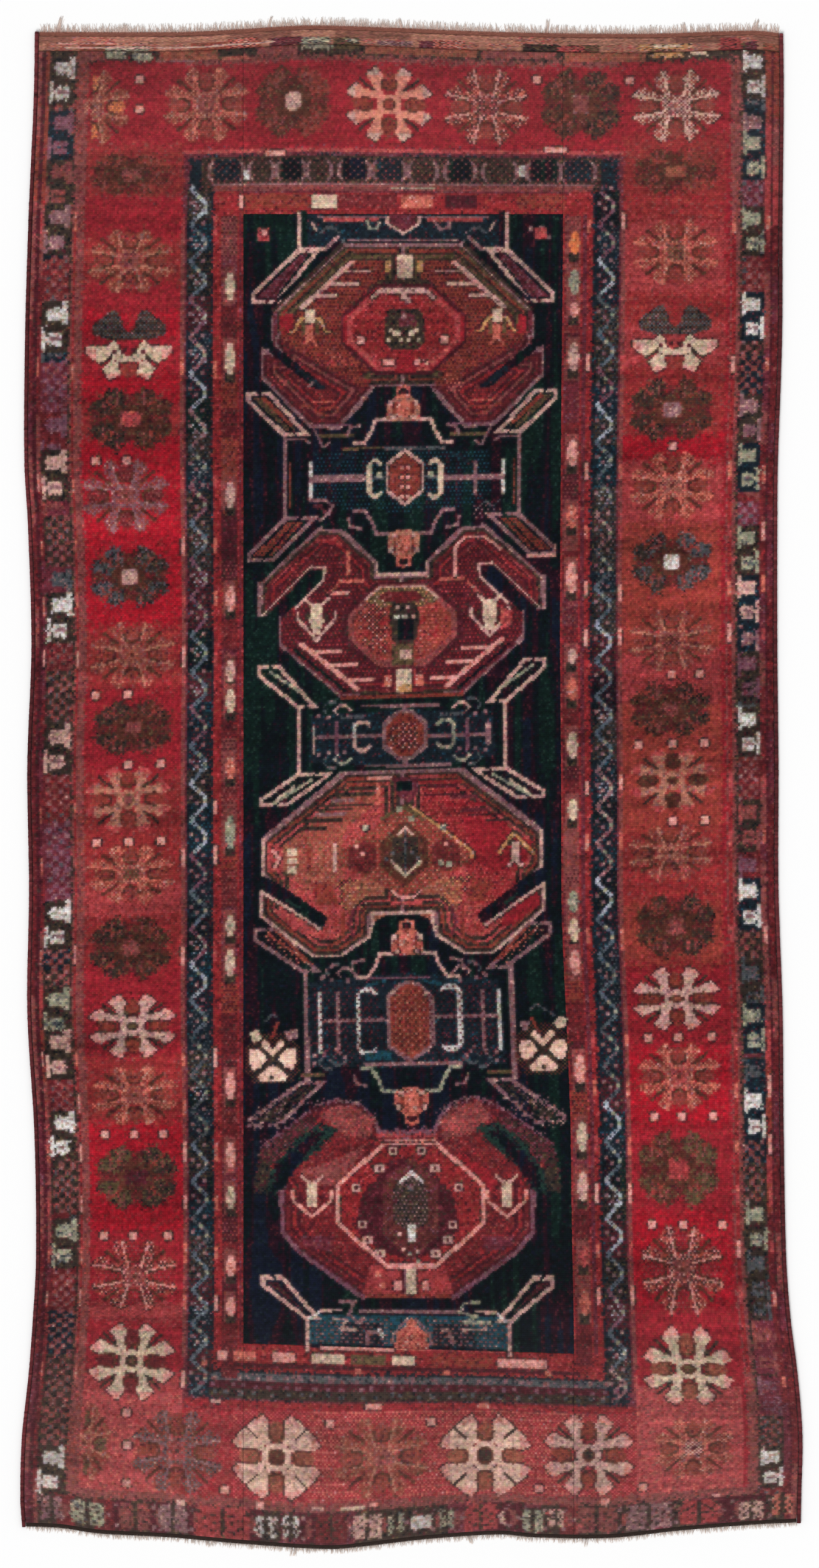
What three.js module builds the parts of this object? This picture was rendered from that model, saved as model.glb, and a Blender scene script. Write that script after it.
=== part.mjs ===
import * as THREE from 'three';
import { mergeVertices } from 'three/addons/utils/BufferGeometryUtils.js';

// An old hand-knotted long rug of the South Caucasus, lying flat.
// Millimetres, +Z up, +Y towards the rug's head end. The underside lies on Z = 0.
// With age its weave has spread and drawn in, so its sides and ends wander by a few centimetres.

const cloth = {
  pileHeight: 7, // foundation and clipped wool pile together
  rimHeight: 5.4, // the pile leans over and thins at the rim
  rimDepth: 9,
  bandHeight: 3, // flat-woven band at the head, without pile
  bandDepth: 26,
  stepDepth: 3, // run of the slope from pile to band
  columns: 22,
  rows: 42,
};

const selvedge = {
  width: 7, // wool overcasting round the outermost warps
  height: 6,
  sides: 8,
};

const fringe = {
  stripDepth: 7, // last rows of weft, which hold the roots of the warp ends
  thickness: 2,
  rootShare: 0.46, // of the pitch from one strand to the next
  tipShare: 0.24,
};

const gap = 0.3;

// The two long sides, from foot to head: how far each lies from the rug's middle line.
const sides = [
  { along: -1266, left: 666, right: 666 },
  { along: -1212, left: 669, right: 667 },
  { along: -1110, left: 666, right: 669 },
  { along: -1007, left: 655, right: 661 },
  { along: -903, left: 647, right: 648 },
  { along: -799, left: 642, right: 641 },
  { along: -591, left: 645, right: 637 },
  { along: -383, left: 657, right: 635 },
  { along: -175, left: 654, right: 628 },
  { along: 33, left: 657, right: 628 },
  { along: 241, left: 650, right: 626 },
  { along: 449, left: 656, right: 626 },
  { along: 553, left: 662, right: 627 },
  { along: 761, left: 661, right: 634 },
  { along: 969, left: 655, right: 635 },
  { along: 1177, left: 646, right: 637 },
  { along: 1290, left: 644, right: 636 },
];

// The two ends, from left to right: how far the cloth reaches from the rug's middle.
const footEnd = [
  { across: -666, reach: 1265 },
  { across: -599, reach: 1268 },
  { across: -537, reach: 1277 },
  { across: -412, reach: 1284 },
  { across: -287, reach: 1295 },
  { across: -141, reach: 1304 },
  { across: -79, reach: 1299 },
  { across: 25, reach: 1287 },
  { across: 150, reach: 1279 },
  { across: 212, reach: 1284 },
  { across: 337, reach: 1285 },
  { across: 462, reach: 1272 },
  { across: 587, reach: 1262 },
  { across: 666, reach: 1258 },
];

const headEnd = [
  { across: -644, reach: 1290 },
  { across: -391, reach: 1290 },
  { across: -287, reach: 1295 },
  { across: -183, reach: 1301 },
  { across: -79, reach: 1299 },
  { across: 150, reach: 1290 },
  { across: 399, reach: 1287 },
  { across: 587, reach: 1292 },
  { across: 637, reach: 1287 },
];

// Frayed warp ends. Most are short; a few tufts, each a strand or two wide, reach further out.
const headFringe = {
  strands: 140,
  shortest: 6,
  longest: 15,
  tufts: [
    { across: -604, reach: 1318, lean: 5 },
    { across: -490, reach: 1306, lean: 1 },
    { across: -245, reach: 1318, lean: 4 },
    { across: -17, reach: 1315, lean: -3 },
    { across: 233, reach: 1313, lean: 2 },
    { across: 467, reach: 1307, lean: -2 },
    { across: 585, reach: 1313, lean: 6 },
  ],
};

const footFringe = {
  strands: 128,
  shortest: 3,
  longest: 10,
  tufts: [
    { across: -349, reach: 1302, lean: 2 },
    { across: -200, reach: 1318, lean: -3 },
    { across: 99, reach: 1296, lean: 3 },
    { across: 300, reach: 1301, lean: -2 },
  ],
};

const colours = {
  pile: 0x6e2228,
  selvedge: 0x6b3a38,
  warp: 0xc9ab96,
};

// A smooth curve through a table's rows, read at one place along it.
function readCurve(table, place, value, at) {
  const last = table.length - 1;
  let i = 0;
  while (i < last - 1 && at > table[i + 1][place]) i += 1;
  const slopeAt = (k) => {
    const a = table[Math.max(k - 1, 0)];
    const b = table[Math.min(k + 1, last)];
    return (b[value] - a[value]) / (b[place] - a[place]);
  };
  const run = table[i + 1][place] - table[i][place];
  const t = THREE.MathUtils.clamp((at - table[i][place]) / run, 0, 1);
  const rise = table[i + 1][value] - table[i][value];
  const from = slopeAt(i) * run - rise;
  const to = rise - slopeAt(i + 1) * run;
  return table[i][value] + t * rise + t * (1 - t) * ((1 - t) * from + t * to);
}

const leftSide = (y) => -readCurve(sides, 'along', 'left', y);
const rightSide = (y) => readCurve(sides, 'along', 'right', y);
const foot = (x) => -readCurve(footEnd, 'across', 'reach', x);
const head = (x) => readCurve(headEnd, 'across', 'reach', x);

// The point that lies a share u of the way across and a share v of the way from foot to head.
function placeInside(u, v, sideInset, endInset) {
  const point = new THREE.Vector2();
  for (let round = 0; round < 3; round += 1) {
    point.x = THREE.MathUtils.lerp(leftSide(point.y) + sideInset, rightSide(point.y) - sideInset, u);
    point.y = THREE.MathUtils.lerp(foot(point.x) + endInset, head(point.x) - endInset, v);
  }
  return point;
}

// Repeatable uneven numbers from 0 to 1, one for each whole number.
const uneven = (n) => THREE.MathUtils.euclideanModulo(Math.sin(n * 12.9898) * 43758.5453, 1);

function geometryOf(positions, faces) {
  const geometry = new THREE.BufferGeometry();
  geometry.setAttribute('position', new THREE.Float32BufferAttribute(positions, 3));
  geometry.setIndex(faces);
  geometry.computeVertexNormals();
  return geometry;
}

function quad(faces, a, b, c, d) {
  faces.push(a, b, c, a, c, d);
}

// Height of the cloth's top face: worn pile, thinner at the rim, and the flat band at the head.
function clothHeight(x, y) {
  const worn = 0.5 * Math.sin(x / 170 + 1) * Math.sin(y / 230) + 0.3 * Math.sin(x / 61 + y / 97);
  const pile = cloth.pileHeight + worn;
  const fromHead = head(x) - fringe.stripDepth - gap - y;
  if (fromHead < cloth.bandDepth) return cloth.bandHeight;
  const fromRim = Math.min(x - leftSide(y), rightSide(y) - x, y - foot(x)) - fringe.stripDepth;
  return fromRim < cloth.rimDepth ? cloth.rimHeight : pile;
}

// Shares along a span that are even inside and have extra rows at given depths from either end.
function stations(count, span, startDepths, endDepths) {
  const inside = Array.from({ length: count + 1 }, (_, i) => (i / count) * span);
  const low = Math.max(0, ...startDepths);
  const high = span - Math.max(0, ...endDepths);
  const clear = 0.4 * (span / count);
  const kept = inside.filter((d) => d > low + clear && d < high - clear);
  const all = [0, ...startDepths, ...kept, ...endDepths.map((d) => span - d), span];
  return all.sort((a, b) => a - b).map((d) => d / span);
}

// The shares across and along at which every piece has its points, so that their edges stay even.
const bandSlope = [cloth.bandDepth, cloth.bandDepth + cloth.stepDepth];
const across = stations(cloth.columns, rightSide(0) - leftSide(0), [cloth.rimDepth], [cloth.rimDepth]);
const along = stations(cloth.rows, head(0) - foot(0), [cloth.rimDepth], bandSlope);

const clothPoint = (u, v) => placeInside(u, v, selvedge.width + gap, fringe.stripDepth + gap);

function clothBody() {
  const positions = [];
  const faces = [];
  for (const v of along) {
    for (const u of across) {
      const { x, y } = clothPoint(u, v);
      positions.push(x, y, clothHeight(x, y), x, y, 0);
    }
  }
  const columns = across.length;
  const top = (i, j) => 2 * (j * columns + i);
  const base = (i, j) => top(i, j) + 1;
  for (let j = 0; j + 1 < along.length; j += 1) {
    for (let i = 0; i + 1 < columns; i += 1) {
      quad(faces, top(i, j), top(i + 1, j), top(i + 1, j + 1), top(i, j + 1));
      quad(faces, base(i, j), base(i, j + 1), base(i + 1, j + 1), base(i + 1, j));
    }
    quad(faces, base(0, j), top(0, j), top(0, j + 1), base(0, j + 1));
    const e = columns - 1;
    quad(faces, top(e, j), base(e, j), base(e, j + 1), top(e, j + 1));
  }
  const far = along.length - 1;
  for (let i = 0; i + 1 < columns; i += 1) {
    quad(faces, top(i, 0), base(i, 0), base(i + 1, 0), top(i + 1, 0));
    quad(faces, base(i, far), top(i, far), top(i + 1, far), base(i + 1, far));
  }
  return geometryOf(positions, faces);
}

// An overcast edge: a rounded cord with a flat foot, which follows one long side.
function selvedgeCord(side) {
  const turn = (2 * Math.PI) / selvedge.sides;
  const reach = 1 / Math.cos(turn / 2);
  const last = along.length - 1;
  const positions = [];
  const faces = [];
  for (const v of along) {
    const centre = placeInside(side < 0 ? 0 : 1, v, selvedge.width / 2, 0);
    for (let k = 0; k < selvedge.sides; k += 1) {
      const angle = (k + 0.5) * turn;
      const x = centre.x + (selvedge.width / 2) * reach * Math.cos(angle);
      const z = (selvedge.height / 2) * (1 + reach * Math.sin(angle));
      positions.push(x, centre.y, z);
    }
  }
  const ring = (step, k) => step * selvedge.sides + (k % selvedge.sides);
  for (let step = 0; step < last; step += 1) {
    for (let k = 0; k < selvedge.sides; k += 1) {
      quad(faces, ring(step, k), ring(step + 1, k), ring(step + 1, k + 1), ring(step, k + 1));
    }
  }
  for (let k = 1; k + 1 < selvedge.sides; k += 1) {
    faces.push(ring(0, 0), ring(0, k), ring(0, k + 1));
    faces.push(ring(last, 0), ring(last, k + 1), ring(last, k));
  }
  return geometryOf(positions, faces);
}

// One end's strip of weft with its warp ends, drawn as a comb and given an even thickness.
function warpEnds(endAt, outwards, row) {
  const edge = across.map((u) => clothPoint(u, outwards < 0 ? 0 : 1));
  const comb = new THREE.Shape(edge.map((p) => new THREE.Vector2(p.x, p.y + outwards * gap)));
  const left = leftSide(endAt(edge[0].x)) + selvedge.width + gap;
  const right = rightSide(endAt(edge[edge.length - 1].x)) - selvedge.width - gap;
  comb.lineTo(right, endAt(right));
  const pitch = (right - left) / row.strands;
  for (let n = row.strands - 1; n >= 0; n -= 1) {
    const x = left + (n + 0.5) * pitch;
    const root = 0.5 * fringe.rootShare * pitch;
    const tip = 0.5 * fringe.tipShare * pitch;
    const tuft = row.tufts.find((t) => Math.abs(t.across - x) < 0.5 * pitch);
    const plain = THREE.MathUtils.lerp(row.shortest, row.longest, uneven(n) ** 2);
    const length = tuft ? tuft.reach - Math.abs(endAt(x)) : plain;
    const lean = tuft ? tuft.lean : 1.6 * Math.sin(n * 0.4) + uneven(n + 0.5) - 0.5;
    comb.lineTo(x + root, endAt(x + root));
    comb.lineTo(x + lean + tip, endAt(x) + outwards * length);
    comb.lineTo(x + lean - tip, endAt(x) + outwards * length);
    comb.lineTo(x - root, endAt(x - root));
  }
  comb.lineTo(left, endAt(left));
  comb.closePath();
  const solid = new THREE.ExtrudeGeometry(comb, { depth: fringe.thickness, bevelEnabled: false });
  solid.deleteAttribute('normal');
  solid.deleteAttribute('uv');
  const joined = mergeVertices(solid);
  joined.computeVertexNormals();
  return joined;
}

function wool(colour, roughness) {
  return new THREE.MeshStandardMaterial({ color: colour, roughness, metalness: 0 });
}

function piece(name, geometry, material) {
  const mesh = new THREE.Mesh(geometry, material);
  mesh.name = name;
  return mesh;
}

const rug = new THREE.Group();
rug.add(piece('rug_cloth', clothBody(), wool(colours.pile, 0.95)));
rug.add(piece('selvedge_left', selvedgeCord(-1), wool(colours.selvedge, 0.9)));
rug.add(piece('selvedge_right', selvedgeCord(1), wool(colours.selvedge, 0.9)));
rug.add(piece('fringe_head', warpEnds(head, 1, headFringe), wool(colours.warp, 0.9)));
rug.add(piece('fringe_foot', warpEnds(foot, -1, footFringe), wool(colours.warp, 0.9)));

export default rug;
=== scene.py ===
"""An old hand-knotted long rug of the South Caucasus, lying flat on a pale floor.

Its pile is charted knot by knot: bands and motifs are drawn on a grid of knots, and the grid is then laid
into the rug's uneven outline. Tables are in millimetres or knots; the meshes are in metres.
"""
import bpy
import numpy as np
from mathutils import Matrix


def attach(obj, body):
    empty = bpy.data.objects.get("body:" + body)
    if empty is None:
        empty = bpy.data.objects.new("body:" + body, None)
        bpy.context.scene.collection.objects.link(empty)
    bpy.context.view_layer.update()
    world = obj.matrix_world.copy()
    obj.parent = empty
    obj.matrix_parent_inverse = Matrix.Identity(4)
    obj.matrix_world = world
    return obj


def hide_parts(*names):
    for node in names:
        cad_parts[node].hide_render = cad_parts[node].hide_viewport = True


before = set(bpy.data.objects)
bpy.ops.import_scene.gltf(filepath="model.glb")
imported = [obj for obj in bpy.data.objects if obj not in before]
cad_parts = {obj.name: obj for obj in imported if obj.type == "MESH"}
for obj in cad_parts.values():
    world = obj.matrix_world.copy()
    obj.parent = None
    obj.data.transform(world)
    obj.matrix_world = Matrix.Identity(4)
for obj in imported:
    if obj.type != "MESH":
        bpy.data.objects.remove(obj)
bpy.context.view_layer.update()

MM = 0.001

# Heights above the floor, and depths inwards from the rug's edges, in mm.
PILE_HEIGHT = 7.0
RIM_HEIGHT = 5.2
RIM_DEPTH = 10.0
PILE_FOOT = 2.9
BACK_HEIGHT = 3.1
BAND_DEPTH = 26.0
BAND_HEIGHT = 2.7
SELVEDGE_WIDTH = 7.0
SELVEDGE_HEIGHT = 6.0
WRAP_PITCH = 3.3
STRIP_DEPTH = 7.0
STRIP_HEIGHT = 2.0
GAP = 0.3
FLOOR_GAP = 0.1

# A knot's usual size across and along, in mm, and how far its colour runs into the next one's at its corners.
KNOT_ACROSS = 3.4
KNOT_ALONG = 3.3
COLOUR_BLEND = 0.55
# Colours of the undyed warp and of the wool round the sides, 0 to 255.
WARP_TONE = (232, 216, 206)
SELVEDGE_TONE = (88, 40, 43)

# The two long sides, from foot to head: how far each lies from the rug's middle line.
SIDES = (
    # along, left, right
    (-1266, 666, 666), (-1212, 669, 667), (-1110, 666, 669), (-1007, 655, 661), (-903, 647, 648),
    (-799, 642, 641), (-591, 645, 637), (-383, 657, 635), (-175, 654, 628), (33, 657, 628), (241, 650, 626),
    (449, 656, 626), (553, 662, 627), (761, 661, 634), (969, 655, 635), (1177, 646, 637), (1290, 644, 636),
)
# The two ends, from left to right: how far the cloth reaches from the rug's middle.
FOOT_END = (
    # across, reach
    (-666, 1265), (-599, 1268), (-537, 1277), (-412, 1284), (-287, 1295), (-141, 1304), (-79, 1299),
    (25, 1287), (150, 1279), (212, 1284), (337, 1285), (462, 1272), (587, 1262), (666, 1258),
)
HEAD_END = (
    # across, reach
    (-644, 1290), (-391, 1290), (-287, 1295), (-183, 1301), (-79, 1299), (150, 1290), (399, 1287),
    (587, 1292), (637, 1287),
)
# The field's four edges. The right one wanders, and every weft climbs a little towards the right.
FIELD_LEFT = -287
FIELD_HEAD = 978
FIELD_FOOT = -960
FIELD_RIGHT = (
    # along, across
    (-968, 278), (-892, 277), (-736, 274), (-580, 272), (-424, 266), (-320, 261), (-216, 257), (-8, 256),
    (304, 254), (616, 256), (928, 259), (990, 259),
)
WEFT_MIDDLE = -14
WEFT_CLIMB = (
    # row from the field's head, rise in mm over the field's width
    (-87, 0), (0, 0), (100, 7), (200, 14), (320, 17), (400, 10), (440, 10), (512, 0), (560, -3), (586, -17),
    (686, -6),
)


def curve(table, value, at):
    """A smooth curve through a table's rows, read at places along it. Its first column is the place."""
    rows = np.array(sorted(table), float)
    place, level = rows[:, 0], rows[:, value]
    last = len(place) - 1
    before, after = np.maximum(np.arange(last + 1) - 1, 0), np.minimum(np.arange(last + 1) + 1, last)
    slope = (level[after] - level[before]) / (place[after] - place[before])
    i = np.clip(np.searchsorted(place, at, side="right") - 1, 0, last - 1)
    run, rise = place[i + 1] - place[i], level[i + 1] - level[i]
    t = np.clip((at - place[i]) / run, 0, 1)
    start, end = slope[i] * run - rise, rise - slope[i + 1] * run
    return level[i] + t * rise + t * (1 - t) * ((1 - t) * start + t * end)


def left_side(y):
    return -curve(SIDES, 1, y)


def right_side(y):
    return curve(SIDES, 2, y)


def foot(x):
    return -curve(FOOT_END, 1, x)


def head(x):
    return curve(HEAD_END, 1, x)


def smooth_noise(random, shape, cell):
    """Soft uneven values from -1 to 1 over the grid, with one new value for each cell of knots."""
    rows, columns = (int(np.ceil(size / step)) + 2 for size, step in zip(shape, cell))
    coarse = random.uniform(-1, 1, (rows, columns))
    row, column = np.arange(shape[0]) / cell[0], np.arange(shape[1]) / cell[1]
    i, j = row.astype(int), column.astype(int)
    s, t = row - i, column - j
    s, t = (s * s * (3 - 2 * s))[:, None], (t * t * (3 - 2 * t))[None, :]
    upper = coarse[np.ix_(i, j)] * (1 - t) + coarse[np.ix_(i, j + 1)] * t
    lower = coarse[np.ix_(i + 1, j)] * (1 - t) + coarse[np.ix_(i + 1, j + 1)] * t
    return upper * (1 - s) + lower * s


# Knots across (columns) and along (rows). Row 0 is at the head, column 0 at the left.
FIELD_COLUMNS, FIELD_ROWS = 160, 586
# Bands round the field from the outside in: width in knots on each side, and the wool of the ground.
BANDS = (
    # name, left, right, head, foot, wool
    ("edge stripe", 6, 7, 0, 0, "cocoa"),
    ("outer guard", 14, 12, 5, 16, "umber"),
    ("outer line", 6, 5, 3, 5, "cocoa"),
    ("main border", 48, 51, 45, 47, "crimson"),
    ("inner line", 4, 5, 4, 4, "plum"),
    ("dark guard", 12, 12, 13, 14, "ink"),
    ("red guard", 15, 15, 17, 14, "madder"),
)
LEFT, RIGHT, HEAD, FOOT = (sum(band[side] for band in BANDS) for side in (1, 2, 3, 4))
COLUMNS = LEFT + FIELD_COLUMNS + RIGHT
ROWS = HEAD + FIELD_ROWS + FOOT

WOOLS = {
    # name: colour on screen, 0 to 255
    "night": (11, 18, 23),
    "ink": (24, 33, 41),
    "petrol": (28, 66, 80),
    "forest": (32, 52, 46),
    "slate": (74, 76, 80),
    "umber": (52, 42, 38),
    "bark": (82, 44, 36),
    "olive": (88, 72, 50),
    "sage": (144, 141, 120),
    "bottle": (13, 30, 27),
    "aubergine": (32, 15, 26),
    "navy": (16, 21, 36),
    "wine": (70, 26, 34),
    "garnet": (98, 35, 39),
    "plum": (98, 40, 50),
    "cocoa": (124, 66, 64),
    "russet": (142, 78, 62),
    "brick": (128, 56, 46),
    "sienna": (132, 54, 48),
    "madder": (134, 38, 42),
    "crimson": (142, 33, 43),
    "scarlet": (156, 25, 38),
    "brickred": (134, 43, 44),
    "rosered": (152, 58, 60),
    "terracotta": (144, 58, 50),
    "rose": (168, 68, 70),
    "salmon": (190, 100, 86),
    "pink": (212, 142, 134),
    "blush": (192, 148, 138),
    "dusk": (130, 92, 96),
    "mauve": (112, 70, 84),
    "tan": (170, 110, 92),
    "shell": (226, 178, 160),
    "cream": (202, 172, 148),
    "chalk": (204, 196, 192),
    "gold": (186, 134, 88),
    "orange": (200, 108, 66),
    "peach": (206, 126, 108),
    "clay": (168, 112, 94),
    "dun": (128, 80, 68),
    "frost": (158, 160, 170),
    "steel": (88, 96, 106),
}
WOOL_NUMBER = {name: number for number, name in enumerate(WOOLS)}
# How far the colours have faded towards dust, by the row.
FADING = (
    # row, share
    (0, 0.11), (50, 0.09), (110, 0.01), (620, 0.01), (690, 0.11), (774, 0.17),
)


class Pen:
    """Draws on the chart from a chosen zero, in knots: x to the right, y towards the foot.

    A pen has one or more frames (column and row of its zero, and its scale each way), and draws in each.
    """

    def __init__(self, knots, frames=((0.0, 0.0, 1.0, 1.0),)):
        self.knots = knots
        self.frames = frames

    def at(self, x, y, across=1.0, along=1.0, mirrored=False):
        """Another pen whose zero is at x, y of this one, which also draws to the left if mirrored."""
        frames = []
        for column, row, wide, long in self.frames:
            for side in (1, -1) if mirrored else (1,):
                frames.append((column + x * wide, row + y * long, side * across * wide, along * long))
        return Pen(self.knots, frames)

    def paint(self, wool, points, reach, covers):
        """Colours the knots near the points whose middles the test covers."""
        for column, row, wide, long in self.frames:
            path = np.array([(column + x * wide, row + y * long) for x, y in points])
            first = np.maximum(np.floor(path.min(0) - reach).astype(int), 0)
            last = np.minimum(np.ceil(path.max(0) + reach).astype(int), self.knots.shape[::-1])
            if (last <= first).any():
                continue
            columns, rows = (np.arange(start, end) + 0.5 for start, end in zip(first, last))
            columns, rows = np.meshgrid(columns, rows)
            window = self.knots[first[1]:last[1], first[0]:last[0]]
            window[covers(path, columns, rows)] = WOOL_NUMBER[wool]

    def area(self, wool, *points):
        self.paint(wool, points, 0, inside)

    def areas(self, wool, *outlines):
        for points in outlines:
            self.area(wool, *points)

    def lattice(self, wool, pitch, *points):
        """Single knots, staggered row by row, inside the outline. With a pitch of 1, every second knot."""
        def covers(path, column, row):
            across, along = np.floor(column), np.floor(row)
            chosen = (across + along) % 2 == 0
            if pitch > 1:
                stagger = (along // 2 % 2) * (pitch // 2)
                chosen = ((across + stagger) % pitch == 0) & (along % 2 == 0)
            return inside(path, column, row) & chosen
        self.paint(wool, points, 0, covers)

    def weave(self, wool, dots, pitch, *points):
        """An area with a lattice of another wool on it."""
        self.area(wool, *points)
        self.lattice(dots, pitch, *points)

    def contours(self, wools, pitch, *points):
        """Lines that follow a closed outline, one wool after the other from its edge inwards."""
        for number, wool in enumerate(wools):
            def covers(path, column, row):
                depth = near(np.vstack([path, path[:1]]), column, row)
                return inside(path, column, row) & (depth // pitch == number)
            self.paint(wool, points, 0, covers)

    def line(self, wool, width, *points):
        self.paint(wool, points, width, lambda path, column, row: near(path, column, row) <= width / 2)

    def lines(self, wool, width, *paths):
        for points in paths:
            self.line(wool, width, *points)

    def levels(self, wool, width, *rows):
        """Level lines, each of them given by its y and the x of its two ends."""
        for y, x0, x1 in rows:
            self.line(wool, width, (x0, y), (x1, y))

    def uprights(self, wool, width, *columns):
        """Upright lines, each of them given by its x and the y of its two ends."""
        for x, y0, y1 in columns:
            self.line(wool, width, (x, y0), (x, y1))

    def block(self, wool, x0, y0, x1, y1):
        self.area(wool, *corners(x0, y0, x1, y1))

    def blocks(self, wool, *boxes):
        for box in boxes:
            self.block(wool, *box)

    def spots(self, wool, size, *points):
        for x, y in points:
            self.block(wool, x - size / 2, y - size / 2, x + size / 2, y + size / 2)


def corners(x0, y0, x1, y1):
    return (x0, y0), (x1, y0), (x1, y1), (x0, y1)


def inside(path, column, row):
    """Even-odd test of the knots' middles against a closed outline."""
    result = np.zeros(column.shape, bool)
    for (x0, y0), (x1, y1) in zip(path, np.roll(path, -1, axis=0)):
        if y0 != y1:
            crosses = (y0 > row) != (y1 > row)
            result ^= crosses & (column < x0 + (row - y0) * (x1 - x0) / (y1 - y0))
    return result


def near(path, column, row):
    """Distance of the knots' middles from an open line."""
    result = np.full(column.shape, np.inf)
    for (x0, y0), (x1, y1) in zip(path[:-1], path[1:]):
        run, rise = x1 - x0, y1 - y0
        share = ((column - x0) * run + (row - y0) * rise) / max(run * run + rise * rise, 1e-9)
        share = np.clip(share, 0, 1)
        result = np.minimum(result, np.hypot(column - x0 - share * run, row - y0 - share * rise))
    return result


def pick(random, *choices):
    return choices[random.integers(len(choices))]


def lots(random, first, last, shortest, longest):
    """Stretches of random length one after the other, as where the weaver begins a new lot of yarn."""
    while first < last:
        after = first + int(random.integers(shortest, longest))
        yield first, after
        first = after


def lay_bands(knots):
    """The frames of the bands, each inside the one before, and the field's ground."""
    left, right, head, foot = 0, COLUMNS, 0, ROWS
    for _, left_width, right_width, head_width, foot_width, wool in BANDS:
        knots[head:foot, left:right] = WOOL_NUMBER[wool]
        left, right = left + left_width, right - right_width
        head, foot = head + head_width, foot - foot_width
    knots[head:foot, left:right] = WOOL_NUMBER["night"]


def bar(pen, corner, end, corner_width, end_width, drop, outline, ground):
    """One of the slanting bars at a cartouche's corners, from the corner out to its flat end."""
    (x0, y0), (x1, y1) = corner, end
    back = drop if y1 < y0 else -drop
    shape = ((x0, y0), (x0 - corner_width, y0), (x1 - end_width, y1), (x1, y1), (x1, y1 + back), (x0, y0))
    pen.area(ground, *shape)
    pen.lattice("mauve" if ground == "plum" else "umber", 2, *shape)
    pen.contours((outline, outline, "night"), 1.1, *shape[:5])
    middle = (x0 - corner_width / 2, y0), (x1 - end_width / 2, y1)
    pen.line("wine" if ground == "plum" else "night", 1, *middle)


def bracket(pen, x, top, bottom, reach, wool):
    """An upright with a hook at each end that turns towards the middle."""
    inner = x - reach
    pen.line(wool, 2.1, (inner, top + 2), (inner + 1.5, top), (x - 2, top), (x, top + 2), (x, bottom - 2),
             (x - 2, bottom), (inner + 1.5, bottom), (inner, bottom - 2))


def hexagon(pen, half, top, shoulder, outline, ground, width=1.9):
    """An upright hexagon about the pen's zero: half width, half height, and half height of its sides."""
    shape = ((0, -top), (half, -shoulder), (half, shoulder), (0, top), (-half, shoulder), (-half, -shoulder),
             (0, -top))
    pen.area(ground, *shape)
    pen.line(outline, width, *shape)


def ring(pen, wool, x, y, size=2.4, heart="wine"):
    pen.spots(wool, 2 * size, (x, y))
    pen.spots(heart, size * 0.8, (x, y))


def comb(pen, start, end, teeth, wool):
    """A slanting line with level teeth that point to the middle: each tooth is its row and its inner end."""
    (x0, y0), (x1, y1) = start, end
    pen.line(wool, 2.6, start, end)
    for y, inner in teeth:
        x = x0 + (y - y0) * (x1 - x0) / (y1 - y0)
        pen.line(wool, 1.5, (x, y), (inner, y))


def octagon(pen, half, top, cut, outline, ground, width=1.7):
    """An octagon about the pen's zero: half width, half height and how far the corners are cut."""
    side, rise = half - cut, top - cut * 0.95
    shape = ((side, -top), (half, -rise), (half, rise), (side, top), (-side, top), (-half, rise),
             (-half, -rise), (-side, -top), (side, -top))
    pen.area(ground, *shape)
    pen.line(outline, width, *shape)


def curls(pen, x, y, wool, along=1):
    """The small broken scrolls at a cartouche's corners."""
    part = pen.at(x, y, along=along)
    part.line(wool, 1.4, (-7, 1), (-5, -2), (-1, -2), (1, 1), (-1, 3))
    part.line("slate", 1.3, (0, -4), (4, -4), (7, -1), (5, 2))
    part.spots("dusk", 2, (-4, 4), (4, 4), (9, 3))


def sprig(pen, body, arm, along=1):
    """The flower on the middle line between a medallion and a cartouche, with its two stepped arms."""
    flower = pen.at(0, 0, along=along)
    pair = pen.at(0, 0, along=along, mirrored=True)
    pair.line(arm, 1.9, (7, 6), (14, 6), (15.5, 11), (19.5, 18), (25, 18))
    pair.line("dusk", 1.6, (22, 9), (27, 10), (28, 14))
    pair.area(body, (0, -6), (4, -6), (8.5, -2), (8, 6), (4, 7.5), (0, 7.5))
    flower.area("salmon", (-3.5, -2), (0, -5), (3.5, -2), (3, 5), (-3, 5))
    pair.spots("blush", 2.4, (6.5, -2.5), (5, 5))
    pair.line("brick", 1.2, (4.6, -3), (4.6, 3))
    pair.line("salmon", 1.6, (0, -11), (3, -10), (3, -6), (0, -6))
    flower.spots("wine", 2.4, (0, -8))


def carnation(pen, petal, along=1):
    """Four spread petals, parted by a dark cross."""
    part = pen.at(0, 0, along=along, mirrored=True)
    part.lattice("bark", 1, (0, -13), (7, -13), (13.6, -6), (13.6, 6), (9, 13.4), (0, 13.4))
    part.area(petal, (0, -5), (3.4, -10), (6, -8), (4, -3), (0, -1))
    part.area(petal, (2.4, 0.6), (6, -4.6), (11, -5), (12, 0), (10, 6), (6, 4.6))
    part.area(petal, (0, 3), (3.4, 5), (7.6, 8.6), (6, 12), (0, 12))
    part.line("umber", 1.6, (0, 0.6), (7.5, -7))
    part.line("umber", 1.6, (0, 0.6), (8, 8.4))
    pen.at(0, 0).spots("umber", 2, (0, 10 * along))


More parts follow.
